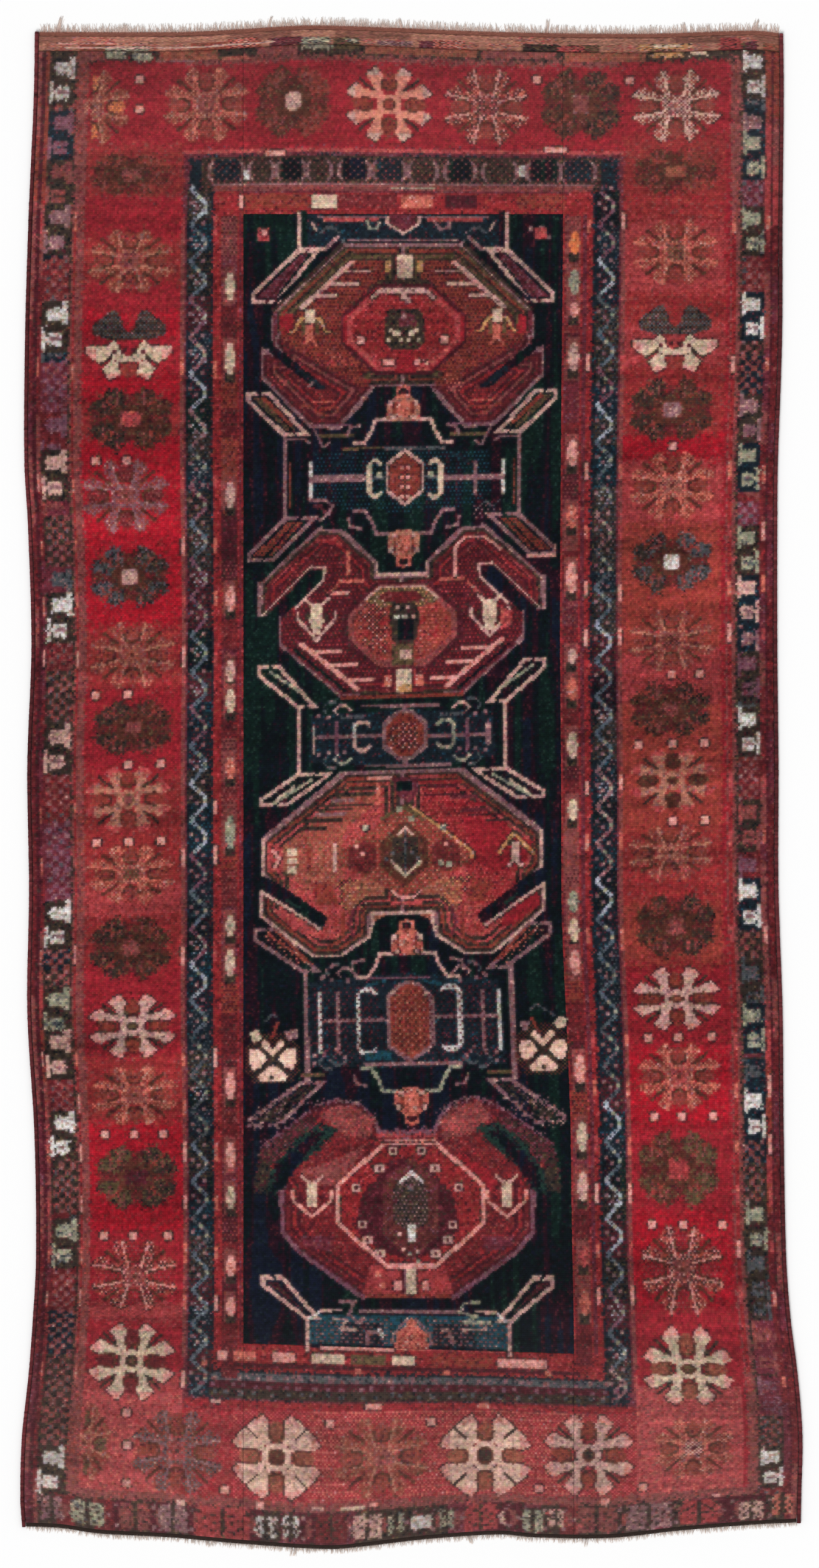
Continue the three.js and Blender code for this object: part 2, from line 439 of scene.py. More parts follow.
def cartouche_head(field, pair):
    """The half cartouche that the head end cuts off."""
    pair.area("ink", (0, 0), (52, 0), (52, 18), (40, 18), (30, 13), (0, 13))
    pair.uprights("night", 3.2, (50, 0, 16))
    pair.line("blush", 2.1, (52.4, 0), (52.4, 18), (41, 18))
    pair.levels("dusk", 1.6, (1.4, 10, 42), (13.6, 0, 27))
    pair.levels("rose", 1.2, (3, 12, 40))
    pair.area("plum", (0, 0), (7.5, 0), (7.5, 4.5), (0, 9.5))
    pair.line("blush", 1.4, (8, 1), (8, 5), (0, 10.2))
    field.line("sage", 1.8, (-18, 4), (-17, 7.4), (-13, 7.4), (-12, 5))
    field.line("dusk", 1.8, (16, 4), (18.5, 8), (23, 7), (22.5, 3.4))
    pair.line("slate", 1.4, (41, 10), (39, 7), (34, 7), (32, 10))
    pair.line("dusk", 1.5, (33, 12), (39, 18))
    pair.line("slate", 1.5, (30, 14), (35, 20))
    pair.line("blush", 1.2, (46, 4), (43, 9))
    bar(pair, (53, 18), (76, 46), 12, 13.5, 5.5, "blush", "plum")
    field.block("rose", -72.5, 7, -66.5, 14)
    field.spots("pink", 3, (-69.5, 10))
    field.spots("dusk", 2.4, (64, 7.5), (73, 12), (69.5, 7.4))
    field.block("rose", 66, 7, 72, 13.5)


def medallion_first(field, pair):
    """Brown-red, with its arms towards the foot."""
    body = ((0, 15.5), (30, 15.5), (64, 49), (65.5, 66), (61, 72), (71, 68), (71, 84), (46, 109.5),
            (32, 110.5), (16, 92), (14, 89), (0, 89))
    pair.weave("brick", "wine", 2, *body)
    pair.contours(("dusk", "umber", "brick", "umber", "olive", "umber"), 1.5, *body)
    arm = ((14, 89), (30, 80), (62, 60), (65, 66), (61, 72), (71, 70), (71, 84), (46, 109.5), (32, 110.5))
    pair.weave("garnet", "madder", 2, *arm)
    pair.contours(("dusk", "wine", "garnet", "wine", "cocoa", "wine", "madder", "wine"), 1.5, *arm)
    pair.line("brick", 4.6, (19, 87), (31, 80.5), (59, 63.5))
    pair.lattice("wine", 2, (14, 89), (31, 78), (60, 61), (62, 66), (33, 84), (16, 92))
    pair.line("umber", 1.8, (31, 16), (65, 49.5))
    pair.line("olive", 1.3, (28, 18), (62, 50))
    pair.line("night", 1.4, (33.5, 16), (66.5, 48))
    pair.line("umber", 1.3, (26, 19.5), (58, 50))
    pair.line("plum", 1.8, (64, 51), (64.6, 67))
    pair.uprights("dusk", 1.3, (65.6, 53, 64))
    pair.line("night", 4.2, (64.5, 70), (43, 88))
    pair.line("ink", 2.4, (52, 80.5), (40.5, 89))
    pair.line("dusk", 1.3, (70.8, 69), (70.8, 84), (46, 109.4), (32, 110.2), (15, 91.5), (14, 88.6),
              (0, 88.6))
    pair.area("night", (0, 90), (14.5, 90), (27, 109), (24, 113), (0, 113))
    comb(pair, (27, 26), (50.5, 48), ((29.5, 17), (36, 22.5), (42, 34)), "blush")
    pair.spots("pink", 2.4, (25.5, 25))
    pair.line("pink", 1.0, (28, 27), (40, 38.5))
    field.block("cream", -2.5, 21, 4.6, 33.5)
    field.block("blush", -1.5, 23, 1, 31)
    field.blocks("gold", (-9, 24.5, -6, 30), (7, 24.5, 9.6, 30))
    pair.line("umber", 1.4, (0, 35), (12, 35), (17, 38))
    octagon(field.at(0.5, 59.5), 31, 22.5, 17, "wine", "crimson")
    octagon(field.at(0.5, 59.5), 27, 20, 15, "rose", "madder", 3.2)
    pair.line("blush", 2.1, (0, 39.5), (11, 39.5), (15, 43))
    pair.lattice("rose", 3, (0, 41), (13, 41), (18, 46), (14, 49), (0, 46))
    field.spots("blush", 3, (1, 42.5), (3, 45))
    field.area("umber", (-7, 49), (8, 49), (11, 55), (11, 66), (8, 70), (-6, 70), (-9, 66), (-9, 54))
    field.area("plum", (-1, 50), (6, 52), (7, 58), (-2, 58))
    field.lattice("olive", 4, (-9, 50), (11, 50), (11, 69), (-9, 69))
    field.block("dusk", -0.5, 51, 2.5, 54)
    eyes = field.at(0.8, 62.5, mirrored=True)
    eyes.spots("cream", 3.2, (3.8, -1))
    eyes.spots("cream", 2.2, (7.6, 2.4), (2, 2.6), (6.6, -2.8))
    field.areas("crimson", ((-1, 70), (5, 70), (7, 82), (-4, 82)), ((-62, 52), (-55, 51), (-55, 60),
                (-61, 62)))
    field.blocks("pink", (-10, 75.5, -4, 77.8), (6.5, 75.5, 9, 78))
    field.block("blush", 10, 75.5, 13, 78)
    pair.spots("pink", 3.2, (21, 65))
    pair.line("rose", 1.3, (16, 70), (10, 78))
    for x, y in ((-46.5, 58), (47.5, 58)):
        figure = field.at(x, y, mirrored=True)
        figure.line("gold", 1.6, (0, -5), (5, -4), (8, 2.5), (9.5, 2.5))
        figure.block("cream", 0, -8.5, 2.6, -2)
        figure.block("salmon", 0, -2, 2, 7.5)
        figure.line("salmon", 1.4, (1, 7), (3.5, 10))
        figure.line("olive", 1.2, (3.4, -3), (3.4, 4))
    field.area("crimson", (58, 52), (62, 53), (62, 62), (57, 62))
    field.lattice("salmon", 2, (21, 83), (31, 83), (30, 93), (22, 92))
    field.lattice("rose", 3, (-40, 69), (-24, 70), (-28, 78), (-38, 78))
    field.lattice("rose", 3, (-66, 82), (-58, 84), (-60, 92), (-66, 88))
    pair.levels("salmon", 1.2, (96.5, 35, 45))
    pair.levels("brick", 1.4, (99.5, 34, 44))
    pair.line("brick", 1.4, (38, 103.5), (50, 98))
    field.line("dusk", 1.3, (-44, 86), (-47, 88.5))


def cartouche_second(field, pair):
    """The first whole one, with a brick hexagon between two hooked brackets."""
    pair.lattice("petrol", 2, (0, 123), (44, 123), (45, 146), (30, 152), (0, 154))
    pair.line("ink", 2.4, (26, 124), (36, 130))
    bar(pair, (60, 114), (78.5, 91), 14, 12, 5, "blush", "olive")
    pair.line("brick", 1.5, (56, 108), (70, 94))
    pair.lines("dusk", 1.3, ((46, 107), (40, 120), (36, 117)), ((58, 115.4), (49, 115.4), (46, 118)))
    pair.levels("mauve", 1.2, (108.6, 26, 44))
    pair.levels("olive", 1.3, (114, 24, 42))
    pair.uprights("dusk", 2.1, (59, 115, 156))
    pair.uprights("brick", 1.2, (56.6, 128, 150))
    field.line("olive", 1.4, (-30, 121), (-9, 120.5))
    field.levels("slate", 1.3, (121, -9, 22))
    for x in (-46, 51):
        field.line("chalk", 2.4, (x, 128), (x, 145))
        field.line("dusk", 1.4, (x, 135.6), (x, 137.4))
    field.levels("dusk", 3.4, (136, -44, -20), (136.5, 22, 49))
    field.levels("slate", 1.9, (136, -14, -8), (136, 11, 17))
    field.spots("sage", 3, (-11, 134.5), (15, 134.5))
    field.uprights("dusk", 1.3, (37, 128, 146))
    bracket(field.at(-0.5, 0, across=-1), 16, 127, 145.5, 5.5, "cream")
    bracket(field, 19.5, 127.5, 146.5, 5.5, "cream")
    middle = field.at(1.5, 136)
    hexagon(middle, 9, 14, 7, "blush", "brick")
    for y in (-5, 0, 5, 10):
        middle.spots("pink", 2, (-1, y), (1.2, y))
        middle.spots("wine", 1.4, (0, y + 2.4))
    field.line("dusk", 1.6, (-46, 147), (-39, 147), (-35, 150), (-37, 154), (-41, 157))
    field.line("plum", 1.8, (-44, 150), (-41, 150), (-39, 153))
    field.line("slate", 1.4, (50, 148), (46, 152), (42, 149), (38, 153))
    field.lattice("dusk", 3, (34, 150), (50, 152), (48, 159), (36, 158))
    bar(pair, (59, 155), (78, 178), 17, 14, 5, "dusk", "brick")
    pair.line("dusk", 1.2, (40, 160), (62, 180))
    field.line("pink", 1.4, (63, 178), (77.6, 178), (77.6, 173))


def medallion_second(field, pair):
    """Dark crimson, with its arms towards the head."""
    body = ((0, 186.5), (13, 186.5), (13, 179.5), (31, 162.5), (42, 161.5), (71, 188), (72.5, 206), (61, 206),
            (62, 220), (32, 248.5), (0, 250))
    pair.weave("wine", "madder", 2, *body)
    pair.contours(("dusk", "umber", "garnet", "wine", "madder", "wine", "garnet"), 1.5, *body)
    pair.weave("wine", "madder", 2, (32, 248), (61, 219), (61, 206), (48, 206), (36, 214), (24, 246))
    pair.area("night", (40, 183), (46, 182.5), (69, 207), (61, 207), (40, 189))
    pair.line("blush", 1.4, (54, 203), (39.6, 188), (38.8, 182), (46, 181), (70, 205))
    pair.uprights("dusk", 1.9, (72, 189, 205))
    pair.line("dusk", 1.4, (13, 179), (30, 163), (42, 162), (71, 189))
    pair.line("blush", 1.8, (12.6, 179.5), (12.6, 186.2), (0, 186.2))
    pair.line("rose", 1.3, (56, 180), (66, 190))
    field.line("pink", 1.6, (27, 188), (27, 173), (32, 167.5), (42, 167.5), (50, 174))
    field.uprights("salmon", 1.8, (-27, 185, 174))
    field.line("rose", 1.3, (-44, 168), (-33, 167), (-30, 171))
    pair.levels("salmon", 1.4, (189, 19, 32))
    field.levels("pink", 1.8, (194.6, -37, -27))
    field.lines("salmon", 1.3, ((-32, 190), (-38, 197)), ((33, 190), (40, 198)))
    pair.lattice("rose", 3, (52, 176), (62, 184), (56, 190), (48, 182))
    octagon(field.at(0.5, 212.5), 29.5, 22, 16, "wine", "wine")
    octagon(field.at(0.5, 212.5), 26, 19.5, 14.5, "cocoa", "brick", 3.0)
    pair.lattice("rose", 2, (2, 196), (12, 196), (24, 206), (24, 220), (12, 230), (2, 230))
    pair.weave("olive", "gold", 2, (0, 192.5), (12, 192.5), (19, 199), (10, 203), (0, 200))
    pair.area("garnet", (0, 195), (8, 195), (12, 199), (0, 201))
    pair.line("blush", 1.3, (0, 192.4), (11, 192.4), (18, 198.4))
    field.lattice("pink", 4, (-22, 200), (-8, 200), (-8, 228), (-20, 220))
    field.lattice("salmon", 3, (9, 200), (22, 206), (20, 222), (9, 230))
    pair.spots("madder", 4, (17, 217), (10, 210))
    field.area("umber", (-5, 201), (7, 201), (9, 206), (8, 218), (4, 224), (-1, 224), (-5, 219), (-6, 206))
    field.block("night", -2, 209, 6, 220)
    field.spots("chalk", 2.6, (-2.4, 208), (1.8, 208))
    field.spots("blush", 2, (5.8, 208), (-2.4, 203.5), (3, 203.5))
    field.block("olive", -5, 222, 6, 233)
    field.block("blush", -1.2, 225, 4.6, 230.4)
    field.block("cream", -3.2, 234.6, 5.4, 246.6)
    field.block("gold", -2, 243, 5.4, 246.6)
    field.block("sage", 3, 237, 5.4, 241)
    field.blocks("salmon", (-9.4, 238.5, -5, 244), (6.6, 238.5, 11, 244))
    comb(pair, (50.5, 221), (22.5, 244.5), ((225, 31), (232, 23), (240, 15)), "pink")
    pair.line("plum", 1.4, (58, 223), (30, 247))
    pair.line("dusk", 1.2, (61.5, 207), (61.5, 221), (31, 248))
    pair.line("night", 1.3, (55, 223), (28, 246))
    pair.levels("brick", 1.6, (249, 0, 30))
    for x in (-43, 44.5):
        figure = field.at(x, 208, mirrored=True)
        figure.line("blush", 1.8, (9.5, -3), (9.5, 0), (0, 11))
        figure.area("cream", (0, -8), (3.2, -8), (3.6, 2), (1.6, 8), (0, 8))
        figure.spots("umber", 2.2, (5.2, -1.5))
        figure.line("blush", 1.6, (2, -7), (6, -10))
    field.area("rose", (50, 204), (56, 206), (56, 214), (50, 216))


def cartouche_third(field, pair):
    """The one with dark bars at its corners and an octagon in its middle."""
    pair.area("ink", (0, 256), (46, 258), (47, 282), (20, 284), (0, 284))
    bar(pair, (53, 254), (73, 231), 11, 11.5, 6, "blush", "night")
    pair.line("sage", 1.6, (49, 247), (66, 235))
    pair.line("cream", 1.3, (46, 250), (52, 245))
    pair.uprights("blush", 2.1, (52.4, 254, 287))
    bar(pair, (53, 287), (72, 304.5), 21, 14, 5, "blush", "night")
    pair.line("sage", 1.6, (46, 291), (64, 302))
    pair.line("cream", 1.4, (54, 294), (64, 301))
    field.line("dusk", 1.6, (-20, 253.6), (18, 254))
    field.line("dusk", 1.9, (-18, 284.5), (24, 284.7))
    field.uprights("blush", 1.9, (-44.5, 264, 277))
    field.uprights("chalk", 1.9, (-44.5, 263.5, 267))
    field.uprights("dusk", 2.1, (43.5, 264, 275))
    field.spots("blush", 2.6, (43.5, 266))
    field.levels("dusk", 1.9, (269.4, -43, -11), (269.8, 13, 42))
    pair.uprights("mauve", 1.6, (33, 262, 277))
    bracket(field.at(0, 0, across=-1), 24, 262, 276.5, 7.5, "blush")
    bracket(field, 26, 262, 276, 8, "sage")
    field.uprights("chalk", 1.9, (-24.2, 263, 269))
    octagon(field.at(1.5, 269), 10.5, 12, 7, "dusk", "brick", 2.6)
    field.lattice("pink", 3, (-5, 262), (8, 262), (9, 276), (-6, 276))
    field.lattice("wine", 4, (-3, 260), (7, 260), (7, 278), (-3, 278))
    field.spots("dusk", 2.4, (1.5, 255.8), (1.5, 282.4))
    curls(pair, 33, 255, "blush")
    curls(pair, 33, 281, "sage", -1)
    pair.levels("slate", 1.5, (259, 20, 30))


def medallion_third(field, pair):
    """Salmon on the left and red on the right, with its arms towards the foot."""
    body = ((0, 287.5), (29, 287.5), (70, 321), (71, 338), (66, 344), (71, 348), (71.5, 361), (45, 383),
            (31, 383), (17, 373), (16, 361), (0, 361))
    pair.weave("rose", "brick", 2, *body)
    field.weave("russet", "rose", 2, (-8, 300), (-29, 296), (-66, 326), (-66, 336), (-40, 352), (-30, 344),
                (-30, 318))
    field.lattice("tan", 3, (-34, 322), (-58, 322), (-62, 336), (-38, 350), (-32, 342))
    pair.weave("russet", "tan", 2, (0, 344), (14, 340), (30, 346), (28, 360), (16, 366), (0, 358))
    field.weave("madder", "rose", 2, (8, 288), (29, 288), (70, 321), (71, 338), (44, 360), (36, 356),
                (30, 330), (10, 306))
    pair.contours(("dusk", "umber", "brick", "umber", "rose", "umber"), 1.5, *body)
    field.areas("crimson", ((30, 312), (52, 315), (56, 322), (66, 326), (62, 338), (46, 342), (36, 334)),
                ((68, 352), (52, 362), (48, 370), (56, 368), (70, 358)))
    field.area("rose", (-68, 322), (-60, 326), (-60, 338), (-68, 338))
    for row, x0, x1, wool in ((291, -18, -5, "pink"), (291, 4, 18, "rose"), (294, -28, -8, "brick"),
                              (294, 8, 30, "madder"), (298.5, -32, -12, "dusk"), (299, -34, -14, "umber"),
                              (298.5, 20, 34, "madder"), (302, -36, -24, "dusk"), (302, 24, 38, "plum"),
                              (306.5, -42, -26, "umber"), (306, 22, 42, "crimson"), (309, -44, -28, "dusk"),
                              (309, 30, 44, "plum"), (316, -52, -38, "umber"), (314.5, 43, 52, "umber"),
                              (312, -50, -30, "umber"), (304.5, -40, -16, "umber"),
                              (296.5, -30, -12, "umber"), (300.5, 12, 32, "wine"), (311.5, 34, 50, "wine"),
                              (296, 12, 28, "wine")):
        field.line(wool, 1.3, (x0, row), (x1, row))
    pair.line("dusk", 2.7, (30, 288), (69, 320))
    pair.line("umber", 1.4, (29, 291), (52, 310))
    pair.line("night", 1.3, (33, 287), (71, 317))
    pair.uprights("blush", 1.8, (70, 321, 339))
    pair.area("night", (72, 339), (64, 343), (38, 362), (39, 367), (46, 366), (72, 348))
    pair.line("forest", 1.9, (52, 357), (58, 353))
    pair.line("blush", 1.6, (42, 368), (56, 358), (71, 348), (71, 361), (45, 382.5), (31, 382.5), (17, 373),
              (15, 366), (15, 361), (0, 361))
    pair.line("brick", 1.4, (30, 360), (30, 374), (38, 378))
    pair.line("plum", 1.8, (24, 358), (27, 366), (25, 372))
    pair.area("brick", (36, 344), (46, 344), (42, 356), (32, 356))
    field.area("rose", (-66, 356), (-48, 364), (-44, 372), (-56, 368))
    lozenge = field.at(1.5, 331, mirrored=True)
    lozenge.weave("sienna", "olive", 2, (0, -26), (33, -2), (33, 4), (0, 22))
    lozenge.lattice("tan", 4, (0, -24), (32, -2), (32, 4), (0, 20))
    field.line("gold", 1.4, (3, 305), (35, 330), (35, 334))
    lozenge.weave("garnet", "bark", 2, (14, -5), (20, -8), (28, -4), (28, 6), (20, 9), (14, 6))
    field.spots("sage", 3, (20, 336), (24, 336.5), (21, 318), (-18, 317))
    field.spots("pink", 2.6, (22, 326), (-23, 326), (28, 325), (-20, 330))
    hexagon(field.at(1.2, 330.5), 11, 16, 6, "bark", "bark")
    field.lattice("olive", 3, (-8, 320), (10, 320), (10, 340), (-8, 340))
    field.area("umber", (-5, 322), (7.5, 322), (8, 337), (1.5, 343), (-5, 337))
    field.uprights("slate", 1.6, (1.5, 317, 341))
    field.line("blush", 1.8, (-2, 320.5), (1.5, 317), (5, 320.5))
    field.line("cream", 1.6, (-5.5, 334), (1.5, 342), (9, 335))
    pair.spots("slate", 1.4, (5, 330), (8, 333))
    field.area("plum", (-5, 291), (8, 291), (8, 300), (3, 304), (-3, 300))
    field.block("night", -3, 293, 5, 298)
    field.uprights("salmon", 2.4, (-12, 293, 304))
    field.line("olive", 1.9, (-10, 312), (0, 306), (11, 313))
    field.spots("sage", 3, (-1, 308), (5, 313))
    for y in (351.5, 356):
        field.line("rose", 1.4, (-6, y), (10, y))
    field.line("pink", 1.3, (-6, 349), (-1, 353), (6, 353), (10, 349))
    field.uprights("blush", 2.2, (-34, 325, 338))
    for y in (328, 332.5, 337):
        field.block("cream", -57.5, y - 1.8, -52.6, y + 1.8)
    field.line("pink", 1.8, (-65, 327), (-62, 331), (-64, 335))
    field.uprights("brick", 1.4, (-47, 326, 338))
    field.line("gold", 1.8, (49, 331), (56, 321.5), (66, 332))
    field.block("blush", 54.6, 326, 58.6, 336)
    field.line("blush", 1.6, (54, 338), (56.5, 335), (60, 338))
    pair.lattice("gold", 4, (18, 344), (34, 342), (30, 358), (18, 360))


def cartouche_fourth(field, pair):
    """The longest one, with a dotted hexagon and a carnation on each side."""
    pair.area("ink", (0, 392), (47, 396), (50, 440), (28, 440), (0, 441))
    bar(pair, (51, 391), (75, 367), 10, 12, 7, "dusk", "night")
    for offset in (0, 4):
        pair.line("brick", 1.3, (49 - offset, 385 + offset / 2), (68 - offset, 370 - offset / 4))
    pair.lattice("salmon", 3, (46, 386), (66, 369), (72, 370), (52, 388))
    field.line("dusk", 2.4, (-49, 390), (-48.5, 447))
    field.uprights("dusk", 2.4, (53.5, 388, 447))
    field.levels("mauve", 1.8, (394.5, -20, 12))
    field.line("dusk", 1.9, (-20, 438.6), (27, 438.8))
    for x, wool in ((-42, "chalk"), (47, "chalk"), (-33, "dusk"), (39, "dusk")):
        field.line(wool, 2.7 if wool == "chalk" else 2.2, (x, 402), (x, 432))
    field.levels("dusk", 1.9, (416.4, -40, -10), (415.4, 15, 46))
    bracket(field.at(0, 0, across=-1), 23, 400.5, 433, 8.5, "chalk")
    bracket(field, 27.5, 399.5, 431.5, 8.5, "chalk")
    middle = field.at(2.5, 417)
    middle.area("brick", (-10, -14), (-5, -20), (5, -20), (11, -14), (11, 13), (0, 21), (-11, 13))
    middle.lattice("bark", 2, (-8, -16), (8, -16), (9, 12), (0, 18), (-9, 12))
    middle.lattice("tan", 4, (-8, -16), (8, -16), (9, 12), (0, 18), (-9, 12))
    middle.line("dusk", 2.1, (0, -20), (-5, -19), (-10.5, -13), (-10.5, 13), (0, 20.5), (11, 13), (11, -13),
                (5, -19), (0, -20))
    middle.spots("blush", 2.4, (-8, -15), (9, -14))
    carnation(field.at(-65.5, 435), "shell")
    carnation(field.at(68, 432.5), "shell")
    field.areas("cream", ((-77, 421), (-72, 420), (-71, 425), (-75, 427)), ((73, 419), (77, 416), (81, 417),
                (79, 422), (75, 422)))
    field.areas("dusk", ((-60, 421), (-53, 420), (-53, 425), (-58, 426)), ((57, 418), (62, 418), (61, 423),
                (58, 423)))
    pair.line("brick", 1.6, (66, 424), (63, 417))
    field.lines("slate", 1.3, ((-70, 417), (-66, 412), (-63, 414)), ((62, 413), (65, 409), (71, 413),
                (75, 416)))
    bar(pair, (52, 447), (78, 471.5), 14, 15, 5, "dusk", "umber")
    pair.lattice("dusk", 4, (52, 450), (60, 450), (74, 466), (66, 469))
    curls(pair, 32, 391, "dusk")
    curls(pair, 36, 437, "slate", -1)
    pair.spots("dusk", 2, (24, 393), (28, 396), (36, 388), (40, 393), (44, 389), (30, 435), (34, 431),
               (40, 434), (45, 438))
    pair.lattice("wine", 3, (12, 398), (46, 398), (46, 434), (12, 434))
    pair.levels("olive", 1.4, (444, 40, 52))
    pair.line("petrol", 1.8, (10, 396), (18, 398))
    field.area("petrol", (-20, 433), (-8, 432), (-6, 437), (-20, 437))


def medallion_fourth(field, pair):
    """The last one, worn and blurred, with its arms towards the head."""
    body = ((0, 473), (13, 473), (15, 466), (24, 458), (34, 456), (44, 459), (72, 481), (75, 505), (62, 505),
            (62, 526), (54, 536), (22, 560), (0, 560))
    pair.weave("garnet", "madder", 2, *body)
    pair.contours(("mauve", "wine", "garnet", "wine", "madder", "wine"), 1.6, *body)
    pair.weave("cocoa", "rose", 2, (16, 468), (26, 460), (36, 460), (42, 466), (30, 476), (18, 478))
    pair.weave("umber", "plum", 1, (48, 466), (72, 482), (75, 504), (70, 504), (66, 490), (44, 470))
    pair.area("umber", (72, 486), (75, 505), (66, 505), (66, 492))
    pair.area("forest", (33, 472), (44, 470), (56, 479), (67, 495), (68, 506), (62, 506), (56, 494),
              (42, 482))
    pair.area("night", (40, 474), (46, 474), (64, 492), (66, 506), (61, 503), (52, 489))
    pair.line("mauve", 2.4, (61.5, 505), (61, 526), (53, 536), (22, 560))
    pair.line("dusk", 1.3, (14.5, 474), (16, 467), (24, 459), (34, 457))
    field.area("crimson", (24, 486), (36, 490), (44, 500), (40, 506), (30, 498))
    field.area("cocoa", (-52, 494), (-34, 488), (-20, 480), (-34, 502), (-44, 502))
    pair.area("rosered", (4, 543), (18, 543), (22, 558), (4, 558))
    pair.area("plum", (36, 528), (52, 528), (50, 534), (38, 536))
    octagon(field.at(1.5, 511.5), 35.5, 32, 23.5, "pink", "madder", 2.2)
    pair.area("wine", (0, 487), (14, 492), (28, 506), (29, 520), (14, 536), (0, 540))
    pair.area("madder", (12, 485), (22, 494), (32, 506), (32, 520), (26, 526), (22, 506), (10, 492))
    field.weave("plum", "bark", 1, (2, 487), (15, 499), (15, 528), (2, 541), (-12, 528), (-12, 499))
    field.weave("umber", "dusk", 2, (2, 496), (10, 502), (10, 521), (2, 526), (-7, 521), (-7, 502))
    for x, y in ((6, 484), (12.5, 493), (24, 503), (21, 522), (18.5, 530), (12.5, 537)):
        ring(pair, "blush", x + 1, y, 2.3)
    pair.levels("salmon", 1.3, (479.5, 0, 13))
    pair.levels("rose", 1.6, (476, 0, 14))
    field.line("chalk", 1.9, (-3.5, 500), (2, 495), (7.5, 500))
    field.spots("slate", 2.4, (2, 503.5))
    field.block("chalk", 0, 522.5, 4.2, 531.5)
    field.spots("blush", 2, (-4, 527), (-2, 535), (5, 536))
    field.spots("sage", 2.6, (1, 537), (5, 541))
    for x in (-46.5, 48.5):
        figure = field.at(x, 508, mirrored=True)
        figure.line("pink", 1.8, (9.5, -3), (9, 2), (0, 10))
        figure.block("cream", 0, -8, 2.4, 4.6)
        figure.line("blush", 1.6, (1.5, -8), (5, -11))
        figure.spots("wine", 2, (5, 0))
    field.block("cream", -0.5, 545, 4.2, 560)
    field.blocks("pink", (-7, 551, -3.4, 556.5), (7, 551, 10, 556.5))
    field.spots("salmon", 3, (-14, 548), (-12, 554))
    pair.levels("brick", 1.8, (559, 20, 0))


def cartouche_foot(field, pair):
    """The half cartouche that the foot end cuts off."""
    pair.area("night", (0, 561), (45, 564), (50, 574), (50, 587), (0, 587))
    pair.area("petrol", (0, 569), (44, 569), (48, 575), (48, 585), (0, 585))
    pair.area("ink", (12, 573), (30, 573), (34, 585), (12, 585))
    pair.lattice("dusk", 3, (10, 570), (46, 572), (46, 584), (10, 584))
    pair.lattice("cocoa", 4, (8, 570), (48, 572), (48, 584), (8, 584))
    bar(pair, (49.5, 572.5), (71.5, 548.5), 8, 11, 5.5, "blush", "wine")
    pair.line("chalk", 1.6, (42, 567), (49.6, 573))
    pair.uprights("blush", 1.9, (49, 573, 588))
    pair.levels("dusk", 1.9, (566.8, 0, 23))
    pair.line("blush", 1.8, (33, 566.4), (42, 566.8))
    field.line("dusk", 1.6, (-33, 562), (-26, 562), (-29, 569), (-24, 573), (-22, 571))
    field.line("blush", 1.4, (-37, 571), (-30, 572), (-33, 577), (-25, 577))
    field.line("sage", 1.6, (34, 562), (27, 562.5), (25, 567), (33, 569), (27, 572), (39, 572))
    field.line("blush", 1.3, (26, 576), (38, 575))
    lozenge = field.at(1.5, 570, mirrored=True)
    lozenge.area("salmon", (0, 0), (7.5, 9), (8.5, 17.5), (0, 17.5))
    lozenge.lattice("madder", 3, (0, 4), (6, 9), (7, 16), (0, 17))
    lozenge.line("dusk", 1.4, (1.5, 0), (9, 9), (9.5, 14))
    field.lines("dusk", 2.1, ((-20, 584), (-19.5, 578.5), (-15, 577.5), (-12.5, 580)), ((16, 575.5),
                (19.5, 576.5), (21.5, 582.5)))
    field.line("chalk", 1.8, (-14, 577), (-12.5, 580))
    field.levels("pink", 1.8, (587, -42, -8))
    field.levels("rose", 1.6, (586.5, 9, 47))


# The upper of the two lobes in a rosette's quarter: narrow, broad, and worn until the lobes run together.
# The other lobe is the same, turned over. The tips of the light ones are often of another wool.
LOBE = ((2, 4.4), (4, 9), (3.4, 17.4), (6, 21.8), (9.2, 20), (11.6, 16), (8.8, 12), (8, 8), (4.4, 2))
BROAD_LOBE = ((2.6, 7), (3.4, 10), (4.4, 14), (3.6, 18), (6.4, 22), (10.6, 19.4), (15, 15), (6, 6))
WORN_LOBE = ((2.8, 6), (2.6, 14), (5.4, 20.6), (10.4, 18.6), (14.4, 13.6), (7.6, 7.6))
LOBE_SPINE = ((3, 5.4), (4.8, 12), (6.8, 20.4))
LOBE_TIP = ((4, 17.5), (6.5, 22), (10.4, 19.2), (12.4, 16.6))
TIPS = {"cream": "pink", "shell": "pink", "blush": "pink", "peach": "blush", "tan": "rose"}
# The brighter single knots of the dotted ones.
GLINTS = {"tan": "salmon", "salmon": "pink", "blush": "shell", "dusk": "blush", "rose": "pink",
          "slate": "dusk", "mauve": "dusk"}


def turned(points):
    return [(y, x) for x, y in points]


def dark_rosette(pen, left, right, heart, eye=None):
    """A flower in two brown wools on a dull red body, with paler stripes down its lobes."""
    for across, wool, other in ((-1, left, right), (1, right, left)):
        for along in (1, -1):
            part = pen.at(0, 0, across, along)
            part.weave("garnet", "bark", 1, (0, 6), (0, 15), (3, 18), (8, 18.4), (18, 8), (19.4, 3), (18, 0),
                       (6, 0))
            for shape in (WORN_LOBE, turned(WORN_LOBE)):
                part.weave(wool, other, 2, *shape)
            part.uprights("cocoa", 1, (6, 7, 17), (9.6, 7, 15), (13.4, 7, 11))
            part.line("sienna", 1.4, (8, 8), (15, 15))
            part.area("bark", (0, 0), (8.6, 0), (8.6, 6.6), (6.6, 8.6), (0, 8.6))
    pen.block(heart, -4.4, -5, 4.4, 5)
    if eye:
        pen.area(eye, (-4, -4), (-2, -5), (3, -5), (4.4, -3), (4.4, 3), (2, 5), (-2, 5), (-4.4, 3))


